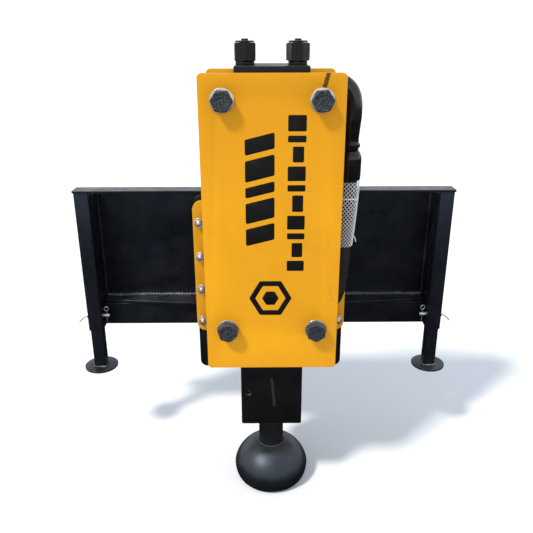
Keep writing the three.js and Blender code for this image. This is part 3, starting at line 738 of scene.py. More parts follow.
# weld beads under the paint: rippled; the paint is lighter than the chassis black and pale silver on its
# edges, a painted highlight where the ripples catch the light
weldBlack = sprayedEnamel("black chassis paint on weld bead, painted highlights", "#1E2228", "#343A42", "#A4A8AD", 0.22,
                          dustHighlightAmount=0.2, wearGlintAmount=1.0, gloss=1.0)
weldOrange = sprayedEnamel("orange enamel on weld bead", "#F0A518", "#DE9418", "#6B5A3C", 0.35, dustHighlightAmount=0.3,
                           wearGlintAmount=0.3)
# high tensile bolts, black oxide: blue-grey, slightly oily, forged grain, the pale chamfer edges both wear
# and a painted highlight
boltOxide = workedMetal("black oxide on forged bolt steel", "#23272D", "#8E949B", 0.50, 420, wearGlintAmount=0.9,
                        bump=0.6, dustHighlightAmount=0.25, metallic=0.3, speck=0.45)
# machined black oxide: pale rubbed edges, both wear and a painted highlight
blackOxide = workedMetal("black oxide on machined steel", "#15181C", "#6F757B", 0.36, 420, wearGlintAmount=0.8,
                         bump=0.3, dustHighlightAmount=0.12, metallic=0.4)
# tool steel, turned and oiled
darkSteel = workedMetal("turned tool steel, blackened", "#34363A", "#8B8D8F", 0.40, 260,
                        stretch=(1, 1, 6), bump=0.25, dustHighlightAmount=0.15, metallic=0.7)
# ground bores, pins and blocks
groundSteel = workedMetal("ground steel, oiled", "#A7A8A6", "#D5D5D2", 0.32, 500, stretch=(1, 1, 0.2),
                          bump=0.15, dustHighlightAmount=0.2)
castSteel = workedMetal("cast cylinder steel, machined", "#6E7073", "#B4B5B6", 0.48, 160, bump=0.35,
                        dustHighlightAmount=0.3, metallic=0.9)
# bright zinc plate: pale, a little milky, finer than the steel under it
zincPlate = workedMetal("bright zinc plate", "#EEEFEC", "#FFFFFF", 0.27, 300, bump=0.25, dustHighlightAmount=0.1,
                        metallic=0.88)
# hose cover: vulcanised rubber, wrapped finish
hoseRubber = mouldedPolymer("vulcanised hose rubber, cloth wrapped", "#1E1D1B", "#2A2825", 0.50, 900, 0.35)
# shrink cover over the swept fitting: smooth and glossy
shrinkCover = mouldedPolymer("black heat-shrink cover", "#0C0C0E", "#141416", 0.18, 60, 0.12, coat=0.5,
                             coatRough=0.06, dustHighlightAmount=0.1)
plugPlastic = mouldedPolymer("black moulded polyethylene", "#121417", "#1E2124", 0.42, 500, 0.2, dustHighlightAmount=0.25)
netPlastic = mouldedPolymer("extruded polyethylene net", "#E9EBEC", "#F6F7F7", 0.35, 400, 0.1, dustHighlightAmount=0.05)
decalVinyl = mouldedPolymer("black vinyl decal, cut", "#060504", "#0B0908", 0.50, 700, 0.1, dustHighlightAmount=0.05)
print("finishes made")


# housing plates

axis = centre("piston")
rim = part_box("driver_bell")[0].z


# a point measured in millimetres from the tool's axis and the bell's rim
def at(x, y, z):
    return Vector((axis.x + x * mm, axis.y + y * mm, rim + z * mm))


housing = {"corner": 0.011, "edge": 0.0014, "hole": 0.0172}
clampNodes = [f"clamp_bolt_{n}" for n in (1, 2, 3, 4)]
clampPlaces = [centre(node) for node in clampNodes]

for node, name, finish in (("front_plate", "frontPlate", frontEnamel),
                           ("rear_plate", "rearPlate", orangeEnamel)):
    low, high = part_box(node)
    outline = roundedBox(low.x, high.x, low.z, high.z, housing["corner"], 8)
    holes = [circleLoop(p.x, p.z, housing["hole"]) for p in clampPlaces]
    plate = finishMesh(uprightPlate([outline] + holes, low.y, high.y, housing["edge"]), name)
    dress(plate, finish, node)

# plain marks in vinyl: leaning bars, a column of blocks and a hexagon ring
marks = {"thick": 0.00028, "left": -0.066, "right": 0.006, "lean": 0.018}


def markLoops(low, high):
    x, z = (low.x + high.x) / 2, high.z
    loops = []

    def slab(x0, x1, top, bottom, lean=0.0, radius=0.004):
        corners = [(x + x0, z - bottom), (x + x1, z - bottom - lean), (x + x1, z - top - lean),
                   (x + x0, z - top)]
        loops.append([roundCorners(corners, radius, 4)])

    for top, bottom in ((0.152, 0.190), (0.204, 0.256), (0.270, 0.296), (0.310, 0.362), (0.376, 0.420)):
        slab(marks["left"], marks["right"], top, bottom, -marks["lean"])
    for top, bottom, inset in ((0.094, 0.132, 0), (0.142, 0.158, 0), (0.168, 0.206, 0.012),
                               (0.216, 0.252, 0), (0.262, 0.278, 0), (0.288, 0.330, 0.012),
                               (0.340, 0.376, 0), (0.386, 0.402, 0), (0.412, 0.450, 0.012),
                               (0.460, 0.488, 0)):
        slab(0.038 + inset, 0.082 - inset * 0.4, top, bottom, 0.0, 0.003)

    def hexagon(radius):
        return [(x - 0.004 + radius * math.cos(a), z - 0.565 + radius * math.sin(a))
                for a in (math.radians(60 * k) for k in range(6))]

    loops.append([roundCorners(hexagon(0.056), 0.006, 4), roundCorners(hexagon(0.040), 0.004, 4)])
    loops.append([roundCorners(hexagon(0.022), 0.003, 4)])
    return loops


low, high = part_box("front_plate")
parts = [uprightPlate(loops, low.y - marks["thick"], low.y + 0.0001, 0.00008) for loops in markLoops(low,
         high)]
plateMarks = finishMesh(joinParts(parts), "plateMarks", mergeAt=1e-7)
dress(plateMarks, decalVinyl)
print("housing plates made")


# clamp bolts: forged head, washer, nut and a length of thread behind it

clamp = {"acrossFlats": 0.047, "head": 0.022, "nut": 0.024, "washer": 0.029, "washerThick": 0.0048,
         "shank": 0.0165, "turns": (27, 34, 14, 5)}

for index, node in enumerate(clampNodes):
    low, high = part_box(node)
    place = clampPlaces[index]
    turn = math.radians(clamp["turns"][index])
    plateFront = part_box("front_plate")[0].y
    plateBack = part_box("rear_plate")[1].y
    seat = low.y + clamp["head"]
    head = hexPart(clamp["acrossFlats"], clamp["head"])
    # the shallow dish and raised rim that the forging die leaves on the head
    for vert in head.verts:
        if math.hypot(vert.co.x,
                      vert.co.y) < clamp["acrossFlats"] * 0.2 and vert.co.z > clamp["head"] * 0.8:
            vert.co.z -= 0.0008
    head.transform(axisMatrix((0, -1, 0), (place.x, seat, place.z), turn))
    rod = laid(easedTurn([(0, 0), (clamp["shank"], 0), (clamp["shank"], plateBack - seat + 0.002),
                          (0, plateBack - seat + 0.002)], 0.0005, 40), (0, 1, 0),
               (place.x, seat - 0.0005, place.z))
    tail = laid(threadedPart(clamp["shank"], high.y - plateBack), (0, 1, 0), (place.x, plateBack, place.z))
    bolt = finishMesh(joinParts([head, rod, tail]), f"clampBolt{index + 1}")
    dress(bolt, boltOxide, node)

    nut = laid(hexPart(clamp["acrossFlats"], clamp["nut"], clamp["shank"] - 0.0002, True), (0, 1, 0),
               (place.x, plateBack + 0.0003, place.z), turn + 0.4)
    dress(finishMesh(nut, f"clampNut{index + 1}"), boltOxide)

    bore = clamp["shank"] + 0.0004
    washerProfile = easeProfile([(bore, 0), (clamp["washer"], 0), (clamp["washer"], clamp["washerThick"]),
                                 (bore, clamp["washerThick"]), (bore, 0)], 0.0009)
    washer = laid(turnedPart(washerProfile, 72), (0, 1, 0),
                  (place.x, plateFront - clamp["washerThick"] - 0.0001, place.z))
    dress(finishMesh(washer, f"clampWasher{index + 1}"), zincPlate)
print("clamp bolts made")


# breaker body: front head, cylinder, back head, tie rods and guides

body = {"chamfer": 0.004, "edge": 0.0009, "bushBore": 0.0504, "cylinderBore": 0.0453,
        "chamber": 0.050, "retainer": 0.0144, "stopHole": 0.0080, "sink": 0.0112, "noseStep": 0.452 - 0.249}


def bodyOutline(low, high):
    c = body["chamfer"]
    corners = [(low.x + c, low.y), (high.x - c, low.y), (high.x, low.y + c), (high.x, high.y - c),
               (high.x - c, high.y), (low.x + c, high.y), (low.x, high.y - c), (low.x, low.y + c)]
    return roundCorners(corners, 0.002, 3)


low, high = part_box("front_head")
stepZ = low.z + body["noseStep"]
narrowY = 0.0127
narrow = bodyOutline(Vector((low.x, low.y + narrowY, 0)), Vector((high.x, high.y - narrowY, 0)))
nose = levelPlate([narrow, circleLoop(axis.x, axis.y, body["bushBore"], 56)], low.z, stepZ + 0.0005,
                  body["edge"])
frontHead = finishMesh(nose, "frontHead")
pins = [centre("retainer_pin_front"), centre("retainer_pin_rear")]
cutters = [rodTool((low.x - 0.02, p.y, p.z), (high.x + 0.02, p.y, p.z), body["retainer"]) for p in pins]
stop = centre("stop_pin")
cutters.append(rodTool((stop.x, low.y - 0.02, stop.z), (stop.x, high.y + 0.02, stop.z), body["stopHole"],
                       40))
sink = laid(turnedPart([(0, 0), (body["sink"], 0), (body["sink"], 0.0042),
                        (body["stopHole"] - 0.0005, 0.0078), (0, 0.0078)], 40), (0, 1, 0),
            (stop.x, low.y + narrowY - 0.004, stop.z))
cutters.append(finishMesh(sink, "cutter"))
carve(frontHead, cutters)
dress(frontHead, headBlack, "front_head")
upper = levelPlate([bodyOutline(low, high), circleLoop(axis.x, axis.y, body["bushBore"], 56)],
                   stepZ, high.z, body["edge"])
dress(finishMesh(upper, "frontHeadShoulder"), blockBlack)

for node, name, bore, finish in (
        ("cylinder", "cylinderBlock", body["cylinderBore"], castSteel),
        ("back_head", "backHead", body["chamber"], blockBlack)):
    low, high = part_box(node)
    loops = [bodyOutline(low, high), circleLoop(axis.x, axis.y, bore, 56)]
    top = high.z - (0.025 if node == "back_head" else 0)
    block = levelPlate(loops, low.z, top, body["edge"])
    if node == "back_head":
        lid = levelPlate([bodyOutline(low, high)], top, high.z, body["edge"])
        block = joinParts([block, lid])
    dress(finishMesh(block, name, mergeAt=1e-7), finish, node)

tie = {"radius": 0.0109, "nutFlats": 0.030, "nut": 0.0197}
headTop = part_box("back_head")[1].z
for n in (1, 2, 3, 4):
    low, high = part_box(f"tie_rod_{n}")
    place = (low + high) / 2
    rod = moved(turnedPart([(0, low.z), (tie["radius"], low.z), (tie["radius"], headTop), (0, headTop)],
                           32), place.x, place.y)
    tail = moved(threadedPart(tie["radius"], high.z - headTop, 0.002), place.x, place.y, headTop)
    nut = laid(hexPart(tie["nutFlats"], tie["nut"], tie["radius"] - 0.0002, True), (0, 0, 1),
               (place.x, place.y, headTop + 0.0002), 0.3 * n)
    rodPiece = finishMesh(joinParts([rod, tail, nut]), f"tieRod{n}")
    dress(rodPiece, blackOxide, f"tie_rod_{n}")

for node, name in (("lower_bush", "lowerBush"), ("upper_bush", "upperBush")):
    low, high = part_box(node)
    outer, inner = (high.x - low.x) / 2, 0.0379
    ring = moved(easedTurn([(inner, low.z), (outer, low.z), (outer, high.z), (inner, high.z),
                            (inner, low.z)], 0.0012, 72), axis.x, axis.y)
    dress(finishMesh(ring, name), groundSteel, node)

for node, name in (("retainer_pin_front", "retainerPinFront"), ("retainer_pin_rear", "retainerPinRear")):
    low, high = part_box(node)
    radius = (high.z - low.z) / 2
    length = high.x - low.x
    pin = laid(easedTurn([(0, 0), (radius, 0), (radius, length), (0, length)], 0.0016, 48), (1, 0, 0),
               (low.x, (low.y + high.y) / 2, (low.z + high.z) / 2))
    dress(finishMesh(pin, name), groundSteel, node)

low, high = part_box("stop_pin")
stopRadius = (high.x - low.x) / 2
pin = laid(easedTurn([(0, 0), (stopRadius, 0), (stopRadius, high.y - low.y), (0, high.y - low.y)], 0.0008,
                     28), (0, 1, 0), (stop.x, low.y, stop.z))
dress(finishMesh(pin, "stopPin"), groundSteel, "stop_pin")

low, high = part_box("piston")
piston = moved(easedTurn([(0, low.z), (0.035, low.z), (0.035, low.z + 0.044), (0.045, low.z + 0.044),
                          (0.045, low.z + 0.139), (0.033, low.z + 0.139), (0.033, high.z), (0, high.z)],
                         0.0012, 72), axis.x, axis.y)
dress(finishMesh(piston, "piston"), groundSteel, "piston", body="piston")
print("breaker body made")


# tool and bell

tool = {"chamfer": 0.006}
low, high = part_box("tool_shank")
radius = (high.x - low.x) / 2
shank = moved(easedTurn([(0, low.z), (radius, low.z), (radius, high.z - tool["chamfer"]),
                         (radius - tool["chamfer"], high.z), (0, high.z)], 0.0012, 96), axis.x, axis.y)
toolShank = finishMesh(shank, "toolShank")
pinZ = pins[0].z
flatLow, flatHigh = pinZ - 0.0596, pinZ + 0.0143
carve(toolShank, [boxTool((axis.x - 0.1, axis.y + side * 0.064 - 0.036, flatLow),
                          (axis.x + 0.1, axis.y + side * 0.064 + 0.036, flatHigh)) for side in (-1, 1)])
dress(toolShank, darkSteel, "tool_shank", body="tool")

bell = {"rim": 0.098, "widestAt": 0.043, "neck": 0.0388, "lip": 0.041, "wall": 0.014, "cavity": 0.052,
        "socketFloor": 0.075, "lowerSwell": 1.74, "upperSwell": 1.68}
low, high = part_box("driver_bell")
widest = (high.x - low.x) / 2
tall = high.z - low.z
inside = bell["rim"] - bell["wall"]
profile = [(0, bell["cavity"])]
for k in range(1, 25):
    t = math.pi / 2 * k / 24
    profile.append((inside * math.sin(t), bell["cavity"] * math.cos(t)))
profile += [(inside + 0.0006, -0.0), (bell["rim"] - 0.002, 0.0), (bell["rim"] - 0.0003, 0.0007)]
for k in range(1, 25):
    share = k / 24
    swell = (1 - (1 - share) ** bell["lowerSwell"]) ** (1 / bell["lowerSwell"])
    profile.append((bell["rim"] + (widest - bell["rim"]) * swell, bell["widestAt"] * share))
for k in range(1, 48):
    t = math.pi / 2 * k / 48
    radiusHere = bell["neck"] + (widest - bell["neck"]) * math.cos(t) ** (2 / bell["upperSwell"])
    if radiusHere > bell["lip"]:
        profile.append((radiusHere,
                        bell["widestAt"]
                        + (tall - bell["widestAt"]) * math.sin(t) ** (2 / bell["upperSwell"])))
profile += [(bell["lip"], tall), (radius + 0.0003, tall), (radius + 0.0003, bell["socketFloor"]),
            (0, bell["socketFloor"])]
bellMesh = moved(turnedPart(profile, 128), axis.x, axis.y, low.z)
dress(finishMesh(bellMesh, "driverBell"), bellBlack, "driver_bell", body="tool")
print("tool and bell made")


# valve block and ports

low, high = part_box("valve_body")
outline = roundedBox(low.x, high.x, low.y, high.y, 0.004, 4)
spool = centre("valve_spool")
port = centre("return_adaptor")
valve = levelPlate([outline, circleLoop(spool.x, spool.y, 0.0133, 32)], low.z, high.z, 0.0014)
dress(finishMesh(valve, "valveBody"), castSteel, "valve_body")
low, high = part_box("valve_cap")
cap = levelPlate([roundedBox(low.x, high.x, low.y, high.y, 0.004, 4)], low.z, high.z - 0.006, 0.0012)
screws = []
for sx in (low.x + 0.008, high.x - 0.008):
    for sy in (low.y + 0.008, high.y - 0.008):
        screw = moved(easedTurn([(0, 0), (0.0055, 0), (0.0055, 0.0058), (0.0032, 0.0058), (0.0030, 0.002),
                                 (0, 0.002)], 0.0004, 24), sx, sy, high.z - 0.0064)
        screws.append(screw)
dress(finishMesh(joinParts([cap] + screws), "valveCap"), blackOxide, "valve_cap")

low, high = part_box("valve_spool")
r = (high.x - low.x) / 2
spoolProfile = easeProfile([(0, low.z), (r, low.z), (r, low.z + 0.03), (r - 0.004, low.z + 0.034),
                            (r - 0.004, high.z - 0.034), (r, high.z - 0.03), (r, high.z), (0, high.z)],
                           0.0008)
spoolMesh = moved(turnedPart(spoolProfile, 40), spool.x, spool.y)
dress(finishMesh(spoolMesh, "valveSpool"), groundSteel, "valve_spool", body="spool")


# a fitting along X or Z: hexagon first, then the turned stem
def fitting(name, node, direction, start, acrossFlats, hexHigh, stem, length):
    hexagon = laid(hexPart(acrossFlats, hexHigh, 0, True), direction, start, 0.2)
    rod = laid(easedTurn([(0, 0), (stem, 0), (stem, length), (stem * 0.7, length), (0, length)], 0.0008,
                         36), direction, start)
    return dress(finishMesh(joinParts([hexagon, rod]), name), zincPlate, node)


low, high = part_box("gas_valve")
fitting("gasValve", "gas_valve", (1, 0, 0), (low.x, (low.y + high.y) / 2, (low.z + high.z) / 2), 0.027,
        0.014, 0.009, high.x - low.x)
low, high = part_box("supply_adaptor")
fitting("supplyAdaptor", "supply_adaptor", (1, 0, 0), (low.x, (low.y + high.y) / 2, (low.z + high.z) / 2),
        0.034, 0.0365, 0.015, high.x - low.x)
low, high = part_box("return_adaptor")
fitting("returnAdaptor", "return_adaptor", (0, 0, 1),
        (port.x, port.y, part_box("valve_body")[1].z + 0.0003), 0.028, 0.0195, 0.011,
        high.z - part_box("valve_body")[1].z)
print("valve made")


# bulkhead bar, couplings and dust plugs

bar = {"corner": 0.004, "edge": 0.0012, "inset": 0.0035}
low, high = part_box("bulkhead_bar")
thick = 0.022
couplings = {side: centre(f"coupling_{side}") for side in ("left", "right")}
ports = [circleLoop(c.x, c.y, 0.0159, 32) for c in couplings.values()]
deck = levelPlate([roundedBox(low.x + bar["inset"], high.x - bar["inset"], low.y, high.y, bar["corner"],
                              4)] + ports, high.z - thick, high.z, bar["edge"])
blocks = []
for side, c in couplings.items():
    front = axis.y - (0.080 if side == "right" else 0.024)
    outline = roundedBox(c.x - 0.022, c.x + 0.022, front, axis.y + 0.024, bar["corner"], 4)
    blocks.append(levelPlate([outline, circleLoop(c.x, c.y, 0.0159, 32)], low.z, high.z - thick + 0.001,
                             bar["edge"]))
dress(finishMesh(joinParts([deck] + blocks), "bulkheadBar", mergeAt=1e-7), blockBlack, "bulkhead_bar")

coupling = {"flats": 0.051, "collar": 0.024, "collarTall": 0.0077, "bore": 0.013, "stub": 0.0155,
            "turns": (0.10, 0.42)}
deckTop = high.z
for index, side in enumerate(("left", "right")):
    low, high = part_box(f"coupling_{side}")
    c = couplings[side]
    base = deckTop + 0.0003
    nut = laid(hexPart(coupling["flats"], high.z - base - coupling["collarTall"], coupling["bore"], True),
               (0, 0, 1), (c.x, c.y, base + coupling["collarTall"]), coupling["turns"][index])
    collar = moved(easedTurn([(0, low.z), (coupling["stub"], low.z), (coupling["stub"], base),
                              (coupling["collar"], base), (coupling["collar"], base + 0.0062),
                              (coupling["collar"] - 0.002, base + 0.0079), (0, base + 0.0079)], 0.0006,
                             64), c.x, c.y)
    dress(finishMesh(joinParts([nut, collar]), f"coupling{side.capitalize()}"), blackOxide,
          f"coupling_{side}")
    low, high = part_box(f"dust_plug_{side}")
    lip = deckTop + 0.0525
    plug = moved(easedTurn([(0, low.z), (0.0124, low.z), (0.0124, lip), (0.0234, lip),
                            (0.0234, lip + 0.0034), (0.0205, lip + 0.0040), (0.0200, lip + 0.0030),
                            (0.0100, lip + 0.0030), (0.0086, lip + 0.0042), (0.0083, high.z),
                            (0, high.z)], 0.0007, 64), c.x, c.y)
    dress(finishMesh(plug, f"dustPlug{side.capitalize()}"), plugPlastic, f"dust_plug_{side}",
          body=f"plug_{side}")
print("couplings made")


# supply line: swept fitting, ferrule, hose in its net

supply = {"pipe": 0.0173, "sleeve": 0.0233, "hose": 0.0195}
line = centre("supply_ferrule")
elbowLow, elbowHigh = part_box("supply_elbow")
pipeZ = elbowHigh.z - supply["sleeve"]
ringZ = elbowLow.z + 0.006
pipeY = line.y
bend = smoothPath([(line.x - 0.053, pipeY, pipeZ), (line.x - 0.040, pipeY, pipeZ - 0.0003),
                   (line.x - 0.026, pipeY, pipeZ - 0.0045), (line.x - 0.012, pipeY, pipeZ - 0.016),
                   (line.x - 0.0035, pipeY, pipeZ - 0.032), (line.x, pipeY, pipeZ - 0.052),
                   (line.x, pipeY, pipeZ - 0.084)], 40)
cover = sweepPart(bend, lambda t: supply["sleeve"] - 0.004 * max(0, 1 - t * 14) ** 2, 40)
pipe = laid(easedTurn([(0, 0), (supply["pipe"], 0), (supply["pipe"], line.x - 0.047 - elbowLow.x),
                       (0, line.x - 0.047 - elbowLow.x)], 0.0008, 40), (1, 0, 0),
            (elbowLow.x, pipeY, pipeZ))
socket = moved(easedTurn([(0, elbowLow.z), (0.0190, elbowLow.z), (0.0190, ringZ + 0.001),
                          (0.0225, ringZ + 0.002), (0.0225, ringZ + 0.011), (0.0185, ringZ + 0.014),
                          (0.0188, ringZ + 0.026), (0.0220, ringZ + 0.062), (0.0232, pipeZ - 0.083),
                          (0, pipeZ - 0.083)], 0.0012, 48), line.x, pipeY)
dress(finishMesh(joinParts([cover, pipe, socket]), "supplyElbow"), shrinkCover, "supply_elbow")

low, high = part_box("supply_ferrule")
thickEnd = (high.x - low.x) / 2
ferruleProfile = [(0, low.z), (thickEnd - 0.0012, low.z), (thickEnd - 0.0004, low.z + 0.012),
                  (thickEnd, high.z - 0.019), (thickEnd - 0.0012, high.z - 0.012),
                  (thickEnd - 0.0045, high.z - 0.005), (0.0205, high.z), (0, high.z)]
ferrule = moved(turnedPart(easeProfile(ferruleProfile, 0.0040, 6), 56), line.x, pipeY)
dress(finishMesh(ferrule, "supplyFerrule"), shrinkCover, "supply_ferrule")

hoseLow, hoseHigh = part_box("supply_hose")
portAt = Vector((hoseLow.x, pipeY, hoseLow.z + supply["hose"]))
run = [(line.x, pipeY, hoseHigh.z), (line.x, pipeY, hoseHigh.z - 0.030),
       (line.x - 0.003, pipeY, hoseHigh.z - 0.088), (line.x - 0.007, pipeY, hoseHigh.z - 0.178),
       (line.x - 0.011, pipeY, hoseHigh.z - 0.253), (line.x - 0.017, pipeY, hoseHigh.z - 0.306),
       (line.x - 0.032, pipeY, hoseHigh.z - 0.340), (portAt.x + 0.012, pipeY, portAt.z),
       (portAt.x, pipeY, portAt.z)]
supplyHose = finishMesh(sweepPart(smoothPath(run, 130), supply["hose"], 48), "supplyHose")
dress(supplyHose, hoseRubber, "supply_hose")

low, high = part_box("return_hose")
top, bottom = couplings["left"], port
back = [(top.x, axis.y, high.z), (top.x, axis.y, high.z - 0.019), (top.x - 0.012, axis.y, high.z - 0.053),
        (top.x - 0.039, axis.y, high.z - 0.079), (top.x - 0.065, axis.y, high.z - 0.117),
        (bottom.x, axis.y, high.z - 0.174), (bottom.x, axis.y, high.z - 0.239),
        (bottom.x, axis.y, high.z - 0.279), (bottom.x, axis.y, low.z)]
dress(finishMesh(sweepPart(smoothPath(back, 110), 0.016, 40), "returnHose"), hoseRubber, "return_hose")
print("hoses made")


# flange, adaptor plate and the eight bolts between them

flange = {"corner": 0.026, "adaptorCorner": 0.022, "edge": 0.0012, "hole": 0.0086, "nutHole": 0.038,
          "flats": 0.024, "shank": 0.008, "head": 0.0135, "washer": 0.015, "rib": 0.012, "ribX": 0.070}
flangeNodes = [f"flange_bolt_{n}" for n in range(1, 9)]
flangePlaces = [centre(node) for node in flangeNodes]
boltHoles = [circleLoop(p.x, p.z, flange["hole"], 24) for p in flangePlaces]
nutHoles = [circleLoop(p.x, p.z, flange["nutHole"], 48) for p in clampPlaces[2:]]

low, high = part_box("flange_plate")
outline = roundedBox(low.x, high.x, low.z, high.z, flange["corner"], 10)
plate = finishMesh(uprightPlate([outline] + boltHoles + nutHoles, low.y, high.y, flange["edge"]),
                   "flangePlate")
dress(plate, orangeEnamel, "flange_plate")

low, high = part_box("adaptor_plate")
plateThick = 0.0157
outline = roundedBox(low.x, high.x, low.z, high.z, flange["adaptorCorner"], 10)
parts = [uprightPlate([outline] + boltHoles + nutHoles, low.y, low.y + plateThick, flange["edge"])]
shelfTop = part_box("shelf")[1].z
for side in (-1, 1):
    x = axis.x + side * flange["ribX"]
    section = [(low.y + plateThick - 0.001, shelfTop + 0.0003), (high.y, shelfTop + 0.0003),
               (high.y, high.z - 0.012), (low.y + plateThick - 0.001, high.z - 0.012)]
    parts.append(sectionBar([section], x - flange["rib"] / 2, x + flange["rib"] / 2, flange["edge"]))
dress(finishMesh(joinParts(parts), "adaptorPlate", mergeAt=1e-7), blockBlack, "adaptor_plate")
adaptorBack = low.y + plateThick
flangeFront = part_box("flange_plate")[0].y

for index, node in enumerate(flangeNodes):
    low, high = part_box(node)
    p = flangePlaces[index]
    turn = math.radians((8, 33, 51, 20, 43, 15, 2, 28)[index])
    seat = flangeFront - 0.0030
    head = laid(hexPart(flange["flats"], flange["head"], 0, True), (0, -1, 0), (p.x, seat, p.z), turn)
    tail = laid(threadedPart(flange["shank"], seat - flange["head"] - low.y + 0.002, 0.0015), (0, -1, 0),
                (p.x, seat - flange["head"] + 0.002, p.z))
    rod = laid(turnedPart([(0, 0), (flange["shank"], 0), (flange["shank"], high.y - seat),
                           (0, high.y - seat)], 28), (0, 1, 0), (p.x, seat, p.z))
    nut = laid(hexPart(flange["flats"], 0.010, flange["shank"] - 0.0002, True), (0, 1, 0),
               (p.x, adaptorBack + 0.0003, p.z), turn + 0.5)
    ring = laid(easedTurn([(0.0085, 0), (flange["washer"], 0), (flange["washer"], 0.0027),
                           (0.0085, 0.0027), (0.0085, 0)], 0.0007, 40), (0, 1, 0), (p.x, seat, p.z))
    piece = finishMesh(joinParts([head, tail, rod, nut, ring]), f"flangeBolt{index + 1}")
    dress(piece, zincPlate, node)
print("flanges made")


# quick-attach frame

attach = {"edge": 0.0012, "thick": 0.010, "lockSlot": (0.068, 0.030), "lockSpread": 0.515}
low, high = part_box("quick_attach_plate")
topOfPlate = high.z
backY = 0.0
frontY = low.y
flangeDeep = 0.062
section = [(frontY, low.z), (backY + flangeDeep, low.z), (backY + flangeDeep, low.z + attach["thick"]),
           (backY, low.z + attach["thick"]), (backY, topOfPlate - 0.015),
           (backY + 0.003, topOfPlate - 0.015), (backY + 0.028, topOfPlate - 0.038),
           (backY + 0.035, topOfPlate - 0.031), (backY + 0.004, topOfPlate), (frontY, topOfPlate)]
quickAttach = finishMesh(sectionBar([section], low.x, high.x, attach["edge"]), "quickAttachPlate")
slotLong, slotDeep = attach["lockSlot"]
middle = (low.x + high.x) / 2
slots = []
for side in (-1, 1):
    x = middle + side * attach["lockSpread"]
    loop = roundedBox(x - slotLong / 2, x + slotLong / 2, backY + 0.016, backY + 0.016 + slotDeep, 0.006, 4)
    slots.append(finishMesh(levelPlate([loop], low.z - 0.01, low.z + attach["thick"] + 0.01, 0.0002),
                            "cutter"))
carve(quickAttach, slots)
dress(quickAttach, chassisBlack, "quick_attach_plate")

low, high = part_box("top_plate")
plate = levelPlate([roundedBox(low.x, high.x, low.y, high.y, 0.003, 4)], low.z, high.z, 0.0010)
dress(finishMesh(plate, "topPlate"), chassisBlack, "top_plate")

low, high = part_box("shelf")
endFront = high.y - 0.0387
waist = 0.229
outline = [(low.x, high.y), (low.x, endFront), (axis.x - waist, low.y), (axis.x + waist, low.y),
           (high.x, endFront), (high.x, high.y)]
dress(finishMesh(levelPlate([roundCorners(outline, 0.002, 3)], low.z, high.z, 0.0012), "shelf"),
      chassisBlack, "shelf")
shelfLow, shelfHigh = low, high

low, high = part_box("apron")
apron = uprightPlate([roundedBox(low.x, high.x, low.z, high.z, 0.002, 3)], low.y, high.y, 0.0012)
dress(finishMesh(apron, "apron"), chassisBlack, "apron")

legs = {"sleeve": 0.045, "leg": 0.038, "wall": 0.003, "corner": 0.005, "foot": 0.054, "footThick": 0.006,
        "hole": 0.0065, "slotLow": -0.039, "slotHigh": 0.287, "spare": -0.123}


def squareTube(x, y, size, wall, corner, z0, z1, edge=0.0005):
    half = size / 2
    inner = half - wall
    outline = roundedBox(x - half, x + half, y - half, y + half, corner, 6)
    hollow = roundedBox(x - inner, x + inner, y - inner, y + inner, max(corner - wall, 0.001), 4)
    return levelPlate([outline, hollow], z0, z1, edge)


